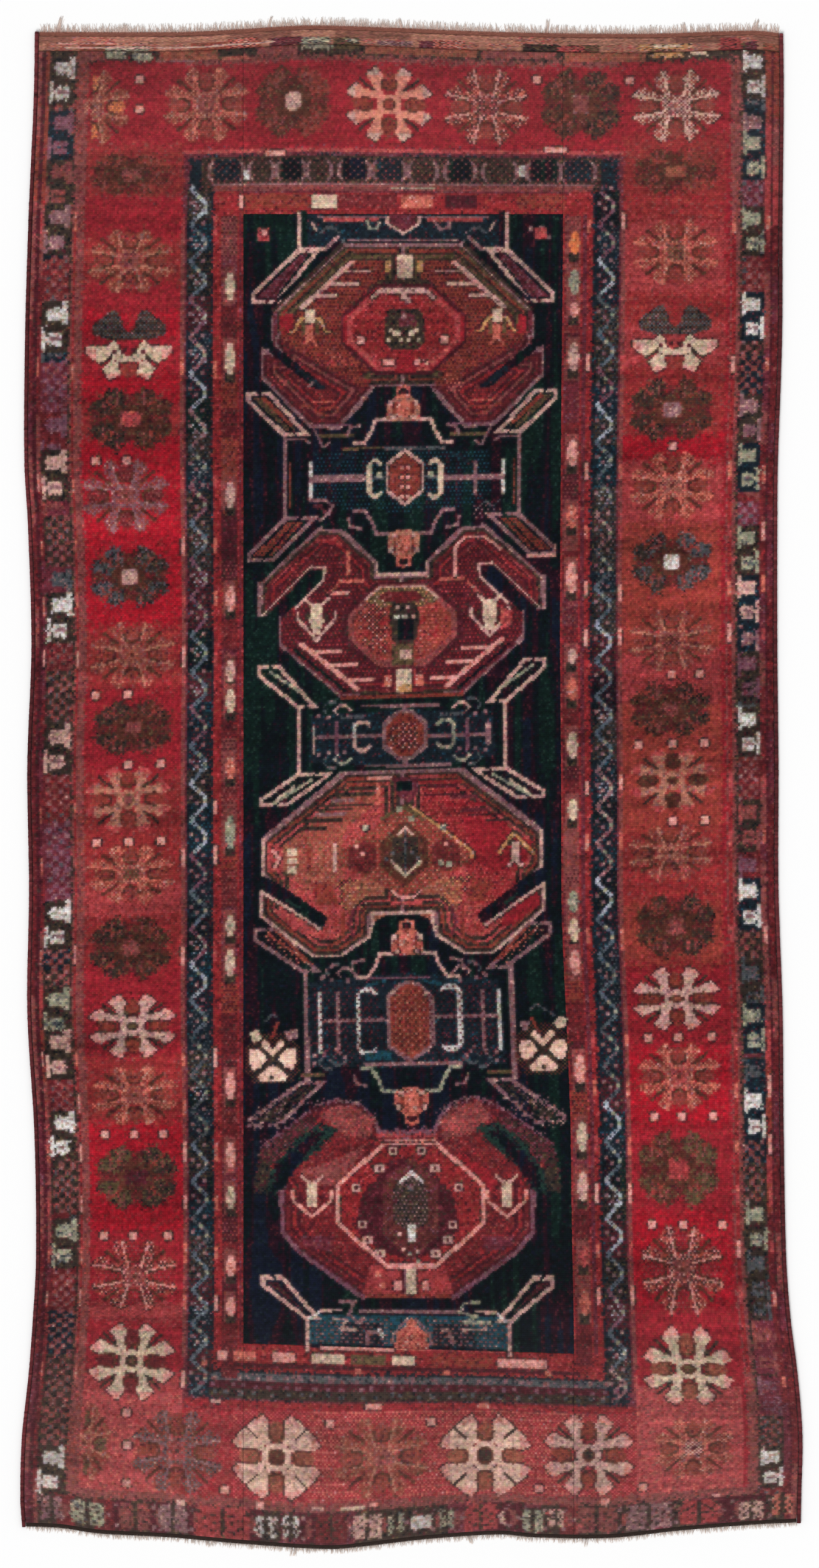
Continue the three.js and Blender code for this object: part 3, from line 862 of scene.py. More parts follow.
def rosette(pen, kind, light, leaf, heart, eye=None, sides=(1, -1)):
    """An eight-lobed flower about the pen's zero, 43 knots each way before the pen's scale.

    Its kind is whole, broad or, with its light wool in single knots on a dull red, dotted.
    """
    lobe = BROAD_LOBE if kind == "broad" else LOBE
    if kind == "dotted":
        pen.lattice("sienna", 2, (-21, -8), (-8, -21), (8, -21), (21, -8), (21, 8), (8, 21), (-8, 21),
                    (-21, 8))
    centre = ((0, 0), (7.2, 0), (7.2, 4.4), (4.4, 7.2), (0, 7.2))
    for along in (1, -1):
        for across in sides:
            part = pen.at(0, 0, across, along)
            leaf_shape = ((0, 7.4), (2.8, 8.6), (3.9, 13), (3, 17.6), (0, 19))
            for shape in (leaf_shape, turned(leaf_shape)):
                part.area(leaf, *shape)
                if kind == "dotted":
                    part.lattice("cocoa", 2, *shape)
            if kind == "dotted":
                for shape in (lobe, turned(lobe), centre):
                    part.area("cocoa" if shape == centre else "sienna", *shape)
                    part.lattice(light, 1, *shape)
                    part.lattice(GLINTS.get(light, "tan"), 2, *shape)
                    part.lattice("brick", 3, *shape)
                for spine in (LOBE_SPINE, turned(LOBE_SPINE)):
                    part.line(GLINTS.get(light, "tan"), 1.1, *spine)
                part.line("bark", 1.6, (8, 8), (14.5, 14.5))
            else:
                for shape, tip in ((lobe, LOBE_TIP), (turned(lobe), turned(LOBE_TIP))):
                    part.area(light, *shape)
                    part.area(TIPS.get(light, light), *tip)
                part.line("umber", 1.4, (9.4, 9.4) if kind == "broad" else (8.2, 8.2), (15, 15))
            part.line("bark", 1.2, (0, 8.2), (3, 9.6), (4, 13.6))
            part.line("bark", 1.2, (8.2, 0), (9.6, 3), (13.6, 4))
    if kind == "dotted":
        pen.lattice(heart, 1, (-4, -4.6), (4, -4.6), (4, 4.6), (-4, 4.6))
        pen.spots(eye or "bark", 2.6, (0, 0))
    else:
        half = 6 if kind == "broad" else 4.8
        octagon(pen, half, half, 3.4, light, eye or "bark", half / 2)
        pen.block(heart, 3 - half, 2.8 - half, half - 3, half - 2.8)


def two_tone_rosette(pen):
    """Slate lobes above, and below them a cream bar with two long arms and two lobes."""
    part = pen.at(0, 0, mirrored=True)
    dark = ((0, -2.4), (0, -6), (3.2, -8), (3.6, -13), (6, -17), (10, -16.4), (18, -9.6), (17.4, -4.4),
            (9, -2))
    part.weave("slate", "umber", 1, *dark)
    part.lattice("bark", 2, *dark)
    part.area("cream", (0, 6), (4, 5), (4.8, 1), (7.4, -1.8), (11, 1.2), (21, 1.4), (20.6, 5.4), (14, 10),
              (9, 6.6), (5, 9.2), (0, 9.2))
    part.area("pink", (16, 2.6), (21.4, 1.6), (20.6, 5.4), (16, 8.4))
    part.area("cream", (4.6, 9.6), (8.6, 8), (13, 12), (9.6, 18.2), (4.4, 15.6))
    part.area("pink", (4.6, 14.6), (11, 14.6), (9.6, 18.2), (4.4, 15.6))
    part.line("umber", 1.3, (8.5, 6), (13.8, 10.6))
    part.spots("wine", 2, (2.4, 3), (6.6, 4.4))
    part.area("sienna", (0, 10), (3.6, 10), (3.6, 16), (0, 17))


# Rosettes of the main border: middle in knots from the rug's head corner at the left, size, and wools.
# The leaf of a dark one is the wool of its right side, and a half one shows its right side only.
ROSETTES = (
    # column, row, width, height, kind, light, leaf, heart, and the eye where it has its own
    (28, 30, 38, 40, "half", "russet", "orange", "tan"),
    (86, 29, 43, 40, "dotted", "tan", "sienna", "cocoa"),
    (130, 29, 40, 40, "dark", "bark", "sienna", "bark", "blush"),
    (178, 30, 42, 38, "whole", "peach", "brick", "sienna"),
    (227, 30, 42, 40, "dotted", "salmon", "sienna", "rose"),
    (274, 28, 42, 40, "dark", "bark", "umber", "dusk", "cocoa"),
    (321, 29, 43, 38, "dotted", "blush", "sienna", "blush", "tan"),
    (49, 66, 44, 24, "dark", "bark", "sienna", "cocoa"),
    (321, 64, 44, 26, "dark", "bark", "sienna", "russet"),
    (49, 111, 42, 33, "dotted", "russet", "brick", "cocoa"),
    (50, 191, 44, 34, "dark", "umber", "bark", "cocoa", "rose"),
    (47, 230, 43, 37, "dotted", "mauve", "garnet", "cocoa"),
    (48, 271, 42, 32, "dark", "slate", "umber", "dusk", "blush"),
    (49, 311, 43, 34, "dotted", "cocoa", "brick", "russet"),
    (50, 348, 42, 30, "dark", "umber", "bark", "cocoa"),
    (48, 385, 42, 34, "whole", "tan", "sienna", "cocoa", "olive"),
    (49, 424, 43, 31, "dotted", "tan", "brick", "olive"),
    (49, 463, 42, 35, "dark", "umber", "bark", "cocoa"),
    (50, 504, 42, 32, "whole", "blush", "brick", "olive", "umber"),
    (50, 540, 43, 32, "dotted", "tan", "brick", "cocoa"),
    (50, 584, 44, 36, "dark", "olive", "umber", "wine"),
    (49, 636, 44, 38, "dotted", "rose", "crimson", "cocoa"),
    (49, 684, 41, 40, "whole", "cream", "garnet", "olive", "umber"),
    (321, 107, 43, 34, "dotted", "tan", "sienna", "olive"),
    (320, 190, 44, 35, "dark", "umber", "bark", "cocoa", "dusk"),
    (321, 230, 43, 36, "dotted", "tan", "brick", "tan"),
    (321, 270, 43, 33, "dark", "umber", "slate", "dusk", "chalk"),
    (321, 311, 43, 32, "dotted", "cocoa", "brick", "bark"),
    (320, 347, 43, 30, "dark", "bark", "umber", "cocoa"),
    (321, 384, 41, 33, "whole", "tan", "bark", "bark"),
    (320, 421, 43, 28, "dotted", "cocoa", "brick", "tan"),
    (322, 458, 43, 33, "dark", "bark", "umber", "cocoa"),
    (321, 495, 43, 32, "whole", "blush", "brick", "russet"),
    (321, 535, 42, 34, "dotted", "tan", "sienna", "rose"),
    (320, 581, 44, 40, "dark", "bark", "olive", "rosered"),
    (321, 632, 42, 45, "dotted", "salmon", "crimson", "cocoa"),
    (321, 680, 43, 42, "whole", "cream", "russet", "olive"),
    (28, 728, 26, 40, "half", "russet", "olive", "tan"),
    (73, 730, 43, 44, "dotted", "slate", "brick", "rose", "umber"),
    (121, 730, 42, 42, "broad", "shell", "russet", "bark"),
    (172, 730, 46, 42, "dotted", "russet", "brick", "cocoa"),
    (222, 731, 43, 44, "broad", "shell", "russet", "umber"),
    (272, 729, 42, 44, "whole", "blush", "brick", "umber"),
    (322, 727, 38, 36, "dotted", "tan", "brick", "blush", "wine"),
)
# The two rosettes whose upper half is dark and whose lower half is light.
TWO_TONE_ROSETTES = (
    # column, row
    (49, 153), (321, 152),
)
# Dye lots of the main border's ground, with the first row of each.
BORDER_LOTS = {
    # first row, wool
    "left": ((5, "crimson"), (50, "brickred"), (78, "crimson"), (100, "brickred"), (122, "crimson"),
        (137, "scarlet"), (150, "crimson"), (168, "scarlet"), (182, "brickred"), (200, "scarlet"),
        (296, "brickred"), (328, "crimson"), (372, "brickred"), (430, "rosered"), (446, "brickred"),
        (470, "crimson"), (520, "brickred"), (556, "scarlet"), (612, "crimson"), (650, "rosered"),
        (662, "crimson"), (690, "rosered"), (700, "rose")),
    "right": ((5, "crimson"), (45, "brickred"), (90, "rosered"), (128, "brickred"), (146, "rosered"),
        (166, "brickred"), (204, "scarlet"), (216, "rosered"), (250, "terracotta"), (316, "rosered"),
        (345, "terracotta"), (410, "brickred"), (446, "terracotta"), (478, "crimson"), (520, "scarlet"),
        (560, "crimson"), (602, "scarlet"), (650, "crimson"), (690, "rose")),
}


# Rows where pink yarn was thrown into all the narrow lines of the sides.
DASH_ROWS = (92, 165, 223, 255, 284, 313, 390, 417, 467, 520, 546, 572, 599, 625, 650, 692)
# The duller wool inside a light hook.
SHADES = {"chalk": "dusk", "blush": "dusk", "sage": "slate", "dusk": "mauve"}
# Pairs of light hooks in the outer guards.
HOOKS = {
    # first row, wool
    "left": ((3, "chalk"), (82, "dusk"), (131, "chalk"), (206, "blush"), (278, "chalk"), (345, "blush"),
        (437, "chalk"), (483, "sage"), (505, "blush"), (548, "chalk"), (606, "sage"), (731, "chalk")),
    "right": ((0, "chalk"), (43, "sage"), (83, "sage"), (128, "chalk"), (182, "dusk"), (208, "sage"),
        (252, "sage"), (278, "blush"), (347, "chalk"), (435, "chalk"), (476, "slate"), (498, "sage"),
        (541, "chalk"), (597, "sage"), (622, "slate"), (727, "chalk")),
}
# Light blocks along the middle of the red guards.
GUARD_BLOCKS = {
    # first row, last row, wool
    "left": ((118, 130, "cream"), (154, 168, "cream"), (225, 236, "blush"), (278, 289, "pink"),
        (316, 325, "blush"), (331, 341, "cream"), (366, 375, "salmon"), (396, 411, "sage"),
        (448, 457, "cream"), (466, 478, "cream"), (530, 542, "pink"), (567, 578, "pink"),
        (590, 600, "cream"), (626, 635, "pink"), (648, 657, "pink")),
    "right": ((97, 107, "orange"), (117, 128, "sage"), (134, 140, "pink"), (155, 168, "blush"),
        (206, 218, "pink"), (240, 250, "salmon"), (270, 284, "pink"), (315, 321, "blush"),
        (330, 340, "salmon"), (358, 370, "cream"), (393, 402, "cream"), (440, 449, "sage"),
        (454, 464, "cream"), (470, 481, "pink"), (524, 537, "pink"), (558, 571, "cream"),
        (583, 596, "blush"), (621, 630, "rose"), (644, 654, "salmon")),
}
# Light pieces in the end guards: the head's from row 0, the foot's from the last line.
END_PIECES = (
    # first column, last column, first row, last row, wool
    (20, 34, 0, 5, "cocoa"), (35, 45, 0, 4, "sage"), (48, 58, 1, 5, "sage"), (62, 92, 0, 5, "russet"),
    (112, 132, 0, 5, "cocoa"), (134, 150, 0, 2, "sage"), (152, 162, 0, 2, "olive"),
    (166, 222, 0, 4, "russet"), (224, 262, 0, 4, "cocoa"), (266, 306, 0, 5, "russet"),
    (309, 325, 0, 3, "gold"), (328, 336, 0, 2, "cream"), (60, 80, 5, 6, "dusk"), (94, 108, 4, 6, "salmon"),
    (22, 38, 759, 771, "sage"), (8, 18, 758, 770, "dusk"), (46, 60, 758, 772, "cocoa"),
    (64, 78, 758, 772, "dusk"), (82, 108, 757, 773, "rosered"), (111, 121, 760, 771, "chalk"),
    (124, 132, 759, 770, "chalk"), (140, 155, 758, 772, "garnet"), (158, 172, 759, 771, "blush"),
    (175, 183, 760, 770, "sage"), (186, 196, 762, 769, "chalk"), (200, 207, 760, 770, "sage"),
    (212, 228, 758, 772, "rosered"), (229, 231, 762, 769, "blush"), (240, 250, 760, 772, "sage"),
    (253, 260, 759, 769, "blush"), (266, 286, 758, 772, "cocoa"), (290, 312, 758, 772, "dusk"),
    (316, 334, 758, 772, "rosered"), (344, 356, 761, 772, "blush"), (360, 370, 757, 770, "salmon"),
    (138, 144, 754, 756, "blush"), (152, 164, 754, 756, "cream"), (166, 170, 753, 755, "pink"),
    (73, 77, 755, 758, "blush"),
)
# Wefts of the flat-woven band at the head, and the pieces of colour in it, from its outer edge inwards.
BAND_WEFTS = 19
BAND_PIECES = (
    # first column, last column, first weft, last weft, wool
    (9, 56, 8, 10, "pink"), (34, 57, 12, 19, "sage"), (97, 112, 6, 19, "salmon"), (118, 134, 8, 18, "plum"),
    (134, 148, 9, 19, "sage"), (150, 163, 9, 19, "olive"), (156, 162, 10, 15, "sage"),
    (172, 190, 11, 17, "dusk"), (200, 216, 7, 18, "salmon"), (262, 276, 10, 18, "rose"),
    (302, 329, 8, 15, "gold"), (310, 324, 9, 12, "cream"), (343, 353, 3, 19, "rosered"),
    (355, 361, 8, 19, "plum"),
)
# Small pink spots between the rosettes.
BORDER_SPOTS = (
    # row, columns
    (15, (52, 252, 298)), (31, (52,)), (212, (33, 48)), (331, (31, 47)), (367, (48, 64)), (407, (32, 48, 64)),
    (561, (34, 49, 64)), (615, (33, 48, 66)), (711, (48,)), (728, (49,)), (748, (49, 96, 248, 298)),
    (712, (147, 196)), (755, (113, 280)), (757, (333,)), (209, (321,)), (329, (321, 335)),
    (365, (304, 321, 337)), (405, (321, 337)), (515, (306, 321, 338)), (555, (308, 322, 338)),
    (609, (306, 322, 342)),
)


def hook_pair(pen, wool, ground):
    """Two hooks turned to each other, each an upright and a block: one at the inner side, one outside."""
    pen.block(ground, 1, 0, 13.4, 26)
    for top, upright, first, last in ((0, 11, 3.2, 10.4), (13, 0.8, 3.4, 11)):
        pen.block(wool, upright, top + 0.4, upright + 2.2, top + 12.4)
        pen.block(wool, first, top + 3, last, top + 9.6)
        pen.line(SHADES.get(wool, ground), 1.4, (first + 1.6, top + 6.2), (last - 1.6, top + 6.2))
        pen.line(wool, 1.4, (first, top + 6), (upright, top + 6))


def chart_band():
    """The flat-woven band at the head: plain rusty wefts outside, and the guard's colours further in."""
    random = np.random.default_rng(19)
    wefts = np.full((BAND_WEFTS, COLUMNS), WOOL_NUMBER["clay"], np.uint8)
    band = Pen(wefts)
    for first, last in lots(random, 0, COLUMNS, 9, 24):
        band.block(pick(random, "clay", "tan", "dun", "clay", "dun"), first, 1, last, 9)
        wool = pick(random, "umber", "russet", "tan", "olive", "tan", "plum")
        band.block(wool, first + 4, 9, last, BAND_WEFTS)
    for first, last, top, bottom, wool in BAND_PIECES:
        band.weave(wool, "umber", 3, *corners(first, top, last, bottom))
    band.line("dun", 1.4, (0, 0.4), (COLUMNS, 0.4))
    band.line("blush", 2.2, (14, 14.5), (40, 13.5), (78, 14), (120, 12.5))
    scatter(wefts, random, LIGHTS + DARKS + REDS + ("tan", "clay", "dun", "rose"), 1, 0.5)
    mottle(wefts, random, 0.4)
    return wefts


def edge_stripes(chart, random):
    """Two narrow stripes along both sides, parted by a dark line, in short lots of dull red and brown."""
    for edge, across in ((0, 1), (COLUMNS, -1.1)):
        stripe = chart.at(edge, 0, across=across)
        for first, last in ((0, 2.6), (3.2, 6)):
            for row, after in lots(random, 0, ROWS, 14, 44):
                paler = row < 90 or (430 < row < 590 and first > 0)
                wools = ("plum", "garnet", "cocoa", "garnet")
                if paler:
                    wools = ("cocoa", "rosered", "cocoa", "brick")
                stripe.block(pick(random, *wools), first, row, last, after)
        stripe.uprights("wine", 1, (3, 0, ROWS))


def outer_guards(chart, random):
    """Hook pairs all along both sides, some of them faded, and between them stretches of small crosses."""
    for side, edge, across in (("left", 5.5, 1), ("right", COLUMNS - 6.6, -0.86)):
        guard = chart.at(edge, 0, across=across)
        for row in range(6, ROWS - 30, 26):
            ground = pick(random, "umber", "plum", "umber", "garnet", "ink")
            faded = pick(random, "mauve", "slate", "cocoa", "dusk", "slate")
            if random.uniform() < 0.45:
                hook_pair(guard.at(0, row + float(random.uniform(-1, 1))), faded, ground)
            else:
                guard.block(ground, 1, row, 13.4, row + 26)
                for step in range(0, 26, 3):
                    places = [(x, row + step + 1) for x in ((3, 9) if step % 2 else (6, 12))]
                    guard.spots("mauve" if ground == "plum" else "cocoa", 3, *places)
                    guard.spots(pick(random, faded, "slate", "dusk", faded), 1.4, *places)
        for row, wool in HOOKS[side]:
            hook_pair(guard.at(0, row), wool, pick(random, "umber", "ink", "umber"))
    for columns in (slice(0, 26), slice(COLUMNS - 26, COLUMNS)):
        scatter(chart.knots[:, columns], random, LIGHTS + DARKS + ("dusk", "mauve"), 1, 0.22)


def end_guards(chart, random):
    """Pieced ends: small panes with dark dots, softer than the sides."""
    for column in range(6, COLUMNS - 6, 9):
        chart.block(pick(random, "wine", "plum", "umber", "garnet"), column, ROWS - 16, column + 9, ROWS)
        chart.block("cocoa", column + 3, ROWS - 12, column + 6, ROWS - 4)
        chart.spots("dusk", 1.6, (column + 2, ROWS - 13), (column + 7, ROWS - 8), (column + 2, ROWS - 3))
    for first, last, top, bottom, wool in END_PIECES:
        chart.block(wool, first, top, last, bottom)
        if bottom - top > 8:
            pane = chart.at((first + last) / 2, (top + bottom) / 2, (last - first) / 14, 1, mirrored=True)
            pane.uprights("umber", 1.2, (0, -7, 7))
            pane.spots("umber", 1.4, (2.5, -3.5), (4.5, -1.5), (2.5, 0.5), (4.5, 2.5), (2.5, 4.5), (6.5, 0.5),
                       (6.5, -5))
    for rows in (slice(0, 6), slice(ROWS - 17, ROWS)):
        scatter(chart.knots[rows], random, LIGHTS + DARKS + REDS + ("dusk", "mauve", "rose"), 1, 0.3)


def narrow_lines(chart, random):
    """The lines between the bands, with the dashes that they share."""
    for column, ground in ((4.6, None), (21.5, "madder"), (75, "cocoa"), (91, "madder"), (278, "madder"),
                           (295, "cocoa"), (350, "madder"), (COLUMNS - 5, None)):
        if ground:
            chart.uprights(ground, 1.6, (column, 95, 680))
        for row in DASH_ROWS:
            slip = float(random.uniform(-2, 2)) - (4 if column > 200 and row > 300 else 0)
            half = random.uniform(2.4, 4.6)
            wool = pick(random, "pink", "salmon", "rose")
            chart.uprights(wool, 1.8, (column, row + slip - half, row + slip + half))
    chart.levels("rose", 2, (54, 76, 294))
    chart.levels("madder", 2, (703.5, 76, 294))
    chart.levels("pink", 2.4, (55.5, 117, 125), (52.5, 257, 266), (703.5, 165, 171))
    chart.levels("blush", 2.4, (703, 90, 93))
    chart.levels("salmon", 2.4, (703.5, 219, 223))


# Dark panes in brackets along the dark guard's head end.
HEAD_PANES = (
    # first column, last column, wool
    (90, 103, "ink"), (110, 118, "umber"), (124, 134, "night"), (139, 147, "umber"), (155, 166, "night"),
    (172, 184, "ink"), (190, 200, "umber"), (208, 219, "night"), (227, 240, "umber"), (249, 262, "night"),
    (266, 279, "ink"),
)


# The dark guards' lots of yarn.
DARK_LOTS = (
    # ground, dots
    ("night", "umber"), ("ink", "wine"), ("umber", "night"), ("ink", "petrol"), ("wine", "umber"),
    ("umber", "slate"), ("ink", "slate"),
)


def dark_guards(chart, random):
    """A pale thread that winds down the sides, blocks in brackets at the head and dots at the foot."""
    for column in (83, 287):
        guard = chart.at(column, 0)
        for row, after in lots(random, 74, 684, 10, 24):
            ground, dots = pick(random, *DARK_LOTS)
            guard.weave(ground, dots, 2, *corners(-6, row, 6, after))
        for row in range(72, 684, 19):
            wool = pick(random, "steel", "dusk", "slate", "frost", "mauve", "steel")
            turn = guard.at(0, row)
            turn.line(wool, 2, (-3.5, 0), (-3.5, 3), (3, 9), (3, 13), (-3.5, 19))
            turn.lattice("ink", 3, *corners(-6, 0, 6, 19))
            if random.uniform() < 0.3:
                turn.lattice("frost", 3, *corners(-3, 8, 4, 15))
            turn.spots("dusk", 1.8, (-1, 12), (2, 1), (-4, 9))
            turn.spots("sage", 1.6, (0, 6), (3, 11))
    chart.weave("umber", "cocoa", 3, *corners(84, 57, 284, 75))
    for x0, x1, wool in HEAD_PANES:
        chart.weave(wool, "cocoa", 4, *corners(x0, 58, x1, 69))
        for x, bend in ((x0 - 2, 1.5), (x1 + 2, -1.5)):
            chart.line("dusk", 1.6, (x + bend, 60), (x, 62), (x, 67), (x + bend, 69))
    chart.blocks("chalk", (105, 64, 108, 69), (243, 61, 246, 67))
    chart.block("cocoa", 90, 71.5, 280, 75)
    chart.levels("dusk", 1.6, (71.5, 90, 280))
    chart.levels("sage", 1.4, (73.5, 180, 200))
    for row, ground, dot in ((690.5, "slate", "dusk"), (694.5, "wine", "mauve"), (698.5, "umber", "slate")):
        chart.levels(ground, 4, (row, 90, 280))
        for column in range(84, 288, 7):
            chart.spots(dot, 2.2, (column + random.uniform(-2, 2), row + random.uniform(-1, 1)))


# Blocks in the red guard's head end and foot end.
RED_GUARD_ENDS = (
    # first row, last row, and for each block its first column, last column and wool
    (77, 84, (104, 138, "brick"), (152, 182, "garnet"), (184, 200, "salmon"), (206, 222, "wine"),
     (222, 240, "madder"), (242, 266, "brick"), (139, 152, "cream"), (103, 105, "pink")),
    (677.5, 681.8, (92, 97, "pink"), (100, 111, "salmon"), (119, 130, "pink"), (138, 154, "cream"),
     (157, 174, "olive"), (177, 188, "cream"), (196, 226, "brick"), (228, 252, "pink"), (254, 264, "madder")),
)


def red_guards(chart, random):
    """Lots of dull red with light rounded blocks, each on a brown one."""
    for side, middle in (("left", 98), ("right", 270.5)):
        guard = chart.at(middle, 0)
        for row, after in lots(random, 88, 672, 12, 26):
            ground = pick(random, "brick", "garnet", "plum", "cocoa", "wine", "garnet")
            guard.weave(ground, pick(random, "cocoa", "wine", "garnet"), 2, *corners(-4, row, 4, after))
        for first, last, wool in GUARD_BLOCKS[side]:
            guard.block("cocoa", -3, first - 4, 3.4, last + 4)
            if random.uniform() < 0.75:
                guard.block("umber", -2, last, 3, last + 5)
            guard.area(wool, (-2, first + 3), (-0.6, first - 1), (1.8, first - 1), (3.2, (first + last) / 2),
                       (1.8, last + 1), (-0.6, last + 1), (-2, last - 3))
        guard.uprights("plum", 1.6, (5.5, 88, 672))
    for top, bottom, *blocks in RED_GUARD_ENDS:
        for first, last, wool in blocks:
            chart.block(wool, first, top, last, bottom)
    chart.levels("plum", 1.4, (75.5, 104, 268))
    chart.levels("wine", 1.4, (684, 100, 268))
    chart.spots("salmon", 3, (161, 686), (204, 686), (253, 684.5), (86, 684))


def main_border(chart, random):
    """Ground in lots of many reds, the rosettes on it, and pink spots between them."""
    for side, x0, x1 in (("left", 26, 75), ("right", 295, 346)):
        for first, wool in BORDER_LOTS[side]:
            chart.block(wool, x0, first, x1, 752)
    for wool, pitch, first, last in (("rosered", 1, 76, 295), ("rose", 1, 100, 295), ("salmon", 2, 136, 270)):
        chart.lattice(wool, pitch, *corners(first, 706, last, 752))
    for darkest in (True, False):
        for column, row, width, height, kind, *wools in ROSETTES:
            if (kind == "dark") == darkest:
                pen = chart.at(column, row, width / 43, height / 43)
                if darkest:
                    dark_rosette(pen, *wools)
                elif kind == "half":
                    rosette(pen, "dotted", *wools, sides=(1,))
                else:
                    rosette(pen, kind, *wools)
        if darkest:
            scatter(chart.knots, random, REDS + DARKS, 2, 0.55)
    for column, row in TWO_TONE_ROSETTES:
        two_tone_rosette(chart.at(column, row))
    for row, columns in BORDER_SPOTS:
        chart.spots("pink", 4, *((column, row) for column in columns))


def tint_ground(knots, random):
    """The dark ground runs into green, purple and navy, mostly in upright streaks."""
    ground = knots == WOOL_NUMBER["night"]
    drift = 0.7 * smooth_noise(random, knots.shape, (60, 3))
    drift += 0.6 * smooth_noise(random, knots.shape, (70, 40))
    drift -= 0.4 * np.clip((np.arange(ROWS) - 480) / 150, 0, 1)[:, None]
    for wool, low, high in (("bottle", 0.28, 2), ("aubergine", -0.5, -0.22), ("navy", -2, -0.5)):
        knots[ground & (drift > low) & (drift <= high)] = WOOL_NUMBER[wool]


REDS = ("crimson", "scarlet", "brickred", "rosered", "terracotta", "madder", "brick")
DARKS = ("umber", "bark", "olive", "wine", "plum", "garnet", "slate", "cocoa", "sienna", "ink")
LIGHTS = ("shell", "cream", "chalk", "blush", "pink", "gold", "sage")


def is_any(knots, names):
    return np.isin(knots, [WOOL_NUMBER[name] for name in names])


def outline_lights(knots, random, share):
    """Dark knots round the light motifs, wherever these stand on red or brown."""
    light = is_any(knots, LIGHTS)
    beside = np.zeros_like(light)
    for axis in (0, 1):
        for step in (1, -1):
            beside |= np.roll(light, step, axis)
    chosen = beside & is_any(knots, REDS + ("rose", "salmon", "plum"))
    chosen &= random.uniform(0, 1, knots.shape) < share
    knots[chosen] = random.choice([WOOL_NUMBER["umber"], WOOL_NUMBER["wine"]], chosen.sum())


# The wools that turn up in each wool's areas.
COMPANIONS = {
    "night": ("bottle", "navy", "aubergine"), "ink": ("navy", "petrol", "aubergine", "night", "plum"),
    "bottle": ("night", "forest"), "navy": ("night", "ink"), "aubergine": ("night", "wine"),
    "petrol": ("ink", "forest"), "garnet": ("wine", "madder", "cocoa"), "madder": ("wine", "brick", "rose"),
    "brick": ("cocoa", "wine", "madder"), "rose": ("salmon", "madder", "cocoa"),
    "bark": ("umber", "wine", "olive"), "sienna": ("brick", "cocoa", "madder"),
    "tan": ("russet", "rose", "dusk"), "shell": ("blush", "cream", "shell"),
    "salmon": ("rose", "brick", "blush"), "crimson": ("brickred", "madder"),
    "scarlet": ("crimson", "brickred"), "brickred": ("terracotta", "crimson", "cocoa"),
    "rosered": ("brickred", "rose"), "terracotta": ("brickred", "rosered", "brick"),
    "umber": ("wine", "olive", "night"), "olive": ("umber", "cocoa"), "wine": ("umber", "plum"),
    "plum": ("wine", "cocoa", "mauve"), "cream": ("blush", "sage"), "blush": ("dusk", "pink", "cream"),
    "pink": ("blush", "salmon"), "chalk": ("sage", "blush"), "gold": ("orange", "olive", "blush"),
    "dusk": ("mauve", "blush", "cocoa"), "mauve": ("dusk", "plum"), "cocoa": ("plum", "brick", "rose"),
    "slate": ("dusk", "ink"), "sage": ("slate", "cream"), "forest": ("night", "ink"),
    "orange": ("salmon", "gold"), "russet": ("cocoa", "brick", "olive", "terracotta"),
}


def mottle(knots, random, share):
    """Strays of the companion wools in every area."""
    before = knots.copy()
    stray = random.uniform(0, 1, knots.shape) < share
    choice = random.integers(0, 60, knots.shape)
    for name, companions in COMPANIONS.items():
        chosen = stray & (before == WOOL_NUMBER[name])
        numbers = np.array([WOOL_NUMBER[companion] for companion in companions])
        knots[chosen] = numbers[choice[chosen] % len(companions)]


def scatter(knots, random, names, reach, share):
    """Mixes neighbouring wools of one family, as where a dye lot runs out."""
    rows, columns = np.indices(knots.shape)
    far_row = np.clip(rows + random.integers(-reach, reach + 1, knots.shape), 0, knots.shape[0] - 1)
    far_column = np.clip(columns + random.integers(-1, 2, knots.shape), 0, knots.shape[1] - 1)
    other = knots[far_row, far_column]
    chosen = is_any(knots, names) & is_any(other, names) & (random.uniform(0, 1, knots.shape) < share)
    knots[chosen] = other[chosen]


def draw_chart():
    random = np.random.default_rng(7)
    knots = np.zeros((ROWS, COLUMNS), np.uint8)
    lay_bands(knots)
    chart = Pen(knots)
    main_border(chart, random)
    edge_stripes(chart, random)
    outer_guards(chart, random)
    end_guards(chart, random)
    narrow_lines(chart, random)
    dark_guards(chart, random)
    red_guards(chart, random)
    field = chart.at(LEFT + FIELD_COLUMNS / 2, HEAD)
    pair = chart.at(LEFT + FIELD_COLUMNS / 2, HEAD, mirrored=True)
    cartouche_head(field, pair)
    medallion_first(field, pair)
    cartouche_second(field, pair)
    sprig(field.at(0.5, 100), "tan", "blush")
    sprig(field.at(1, 171), "tan", "dusk", -1)
    medallion_second(field, pair)
    cartouche_third(field, pair)
    medallion_third(field, pair)
    cartouche_fourth(field, pair)
    sprig(field.at(2, 376), "salmon", "blush")
    medallion_fourth(field, pair)
    sprig(field.at(2.5, 459), "salmon", "sage", -1)
    cartouche_foot(field, pair)
    outline_lights(knots, random, 0.75)
    scatter(knots, random, REDS, 4, 0.5)
    worn = knots[HEAD + 456:HEAD + 507, LEFT:LEFT + FIELD_COLUMNS]
    scatter(worn, random, REDS + DARKS + ("rose", "mauve", "forest", "night", "dusk"), 2, 0.45)
    tint_ground(knots, random)
    mottle(knots, random, 0.22)
    return knots


# Laying the chart into the rug's outline

SIDE_INSET = SELVEDGE_WIDTH + GAP
FOOT_INSET = STRIP_DEPTH + GAP
HEAD_INSET = STRIP_DEPTH + GAP + BAND_DEPTH


def between(start, end, share):
    return start + (end - start) * share


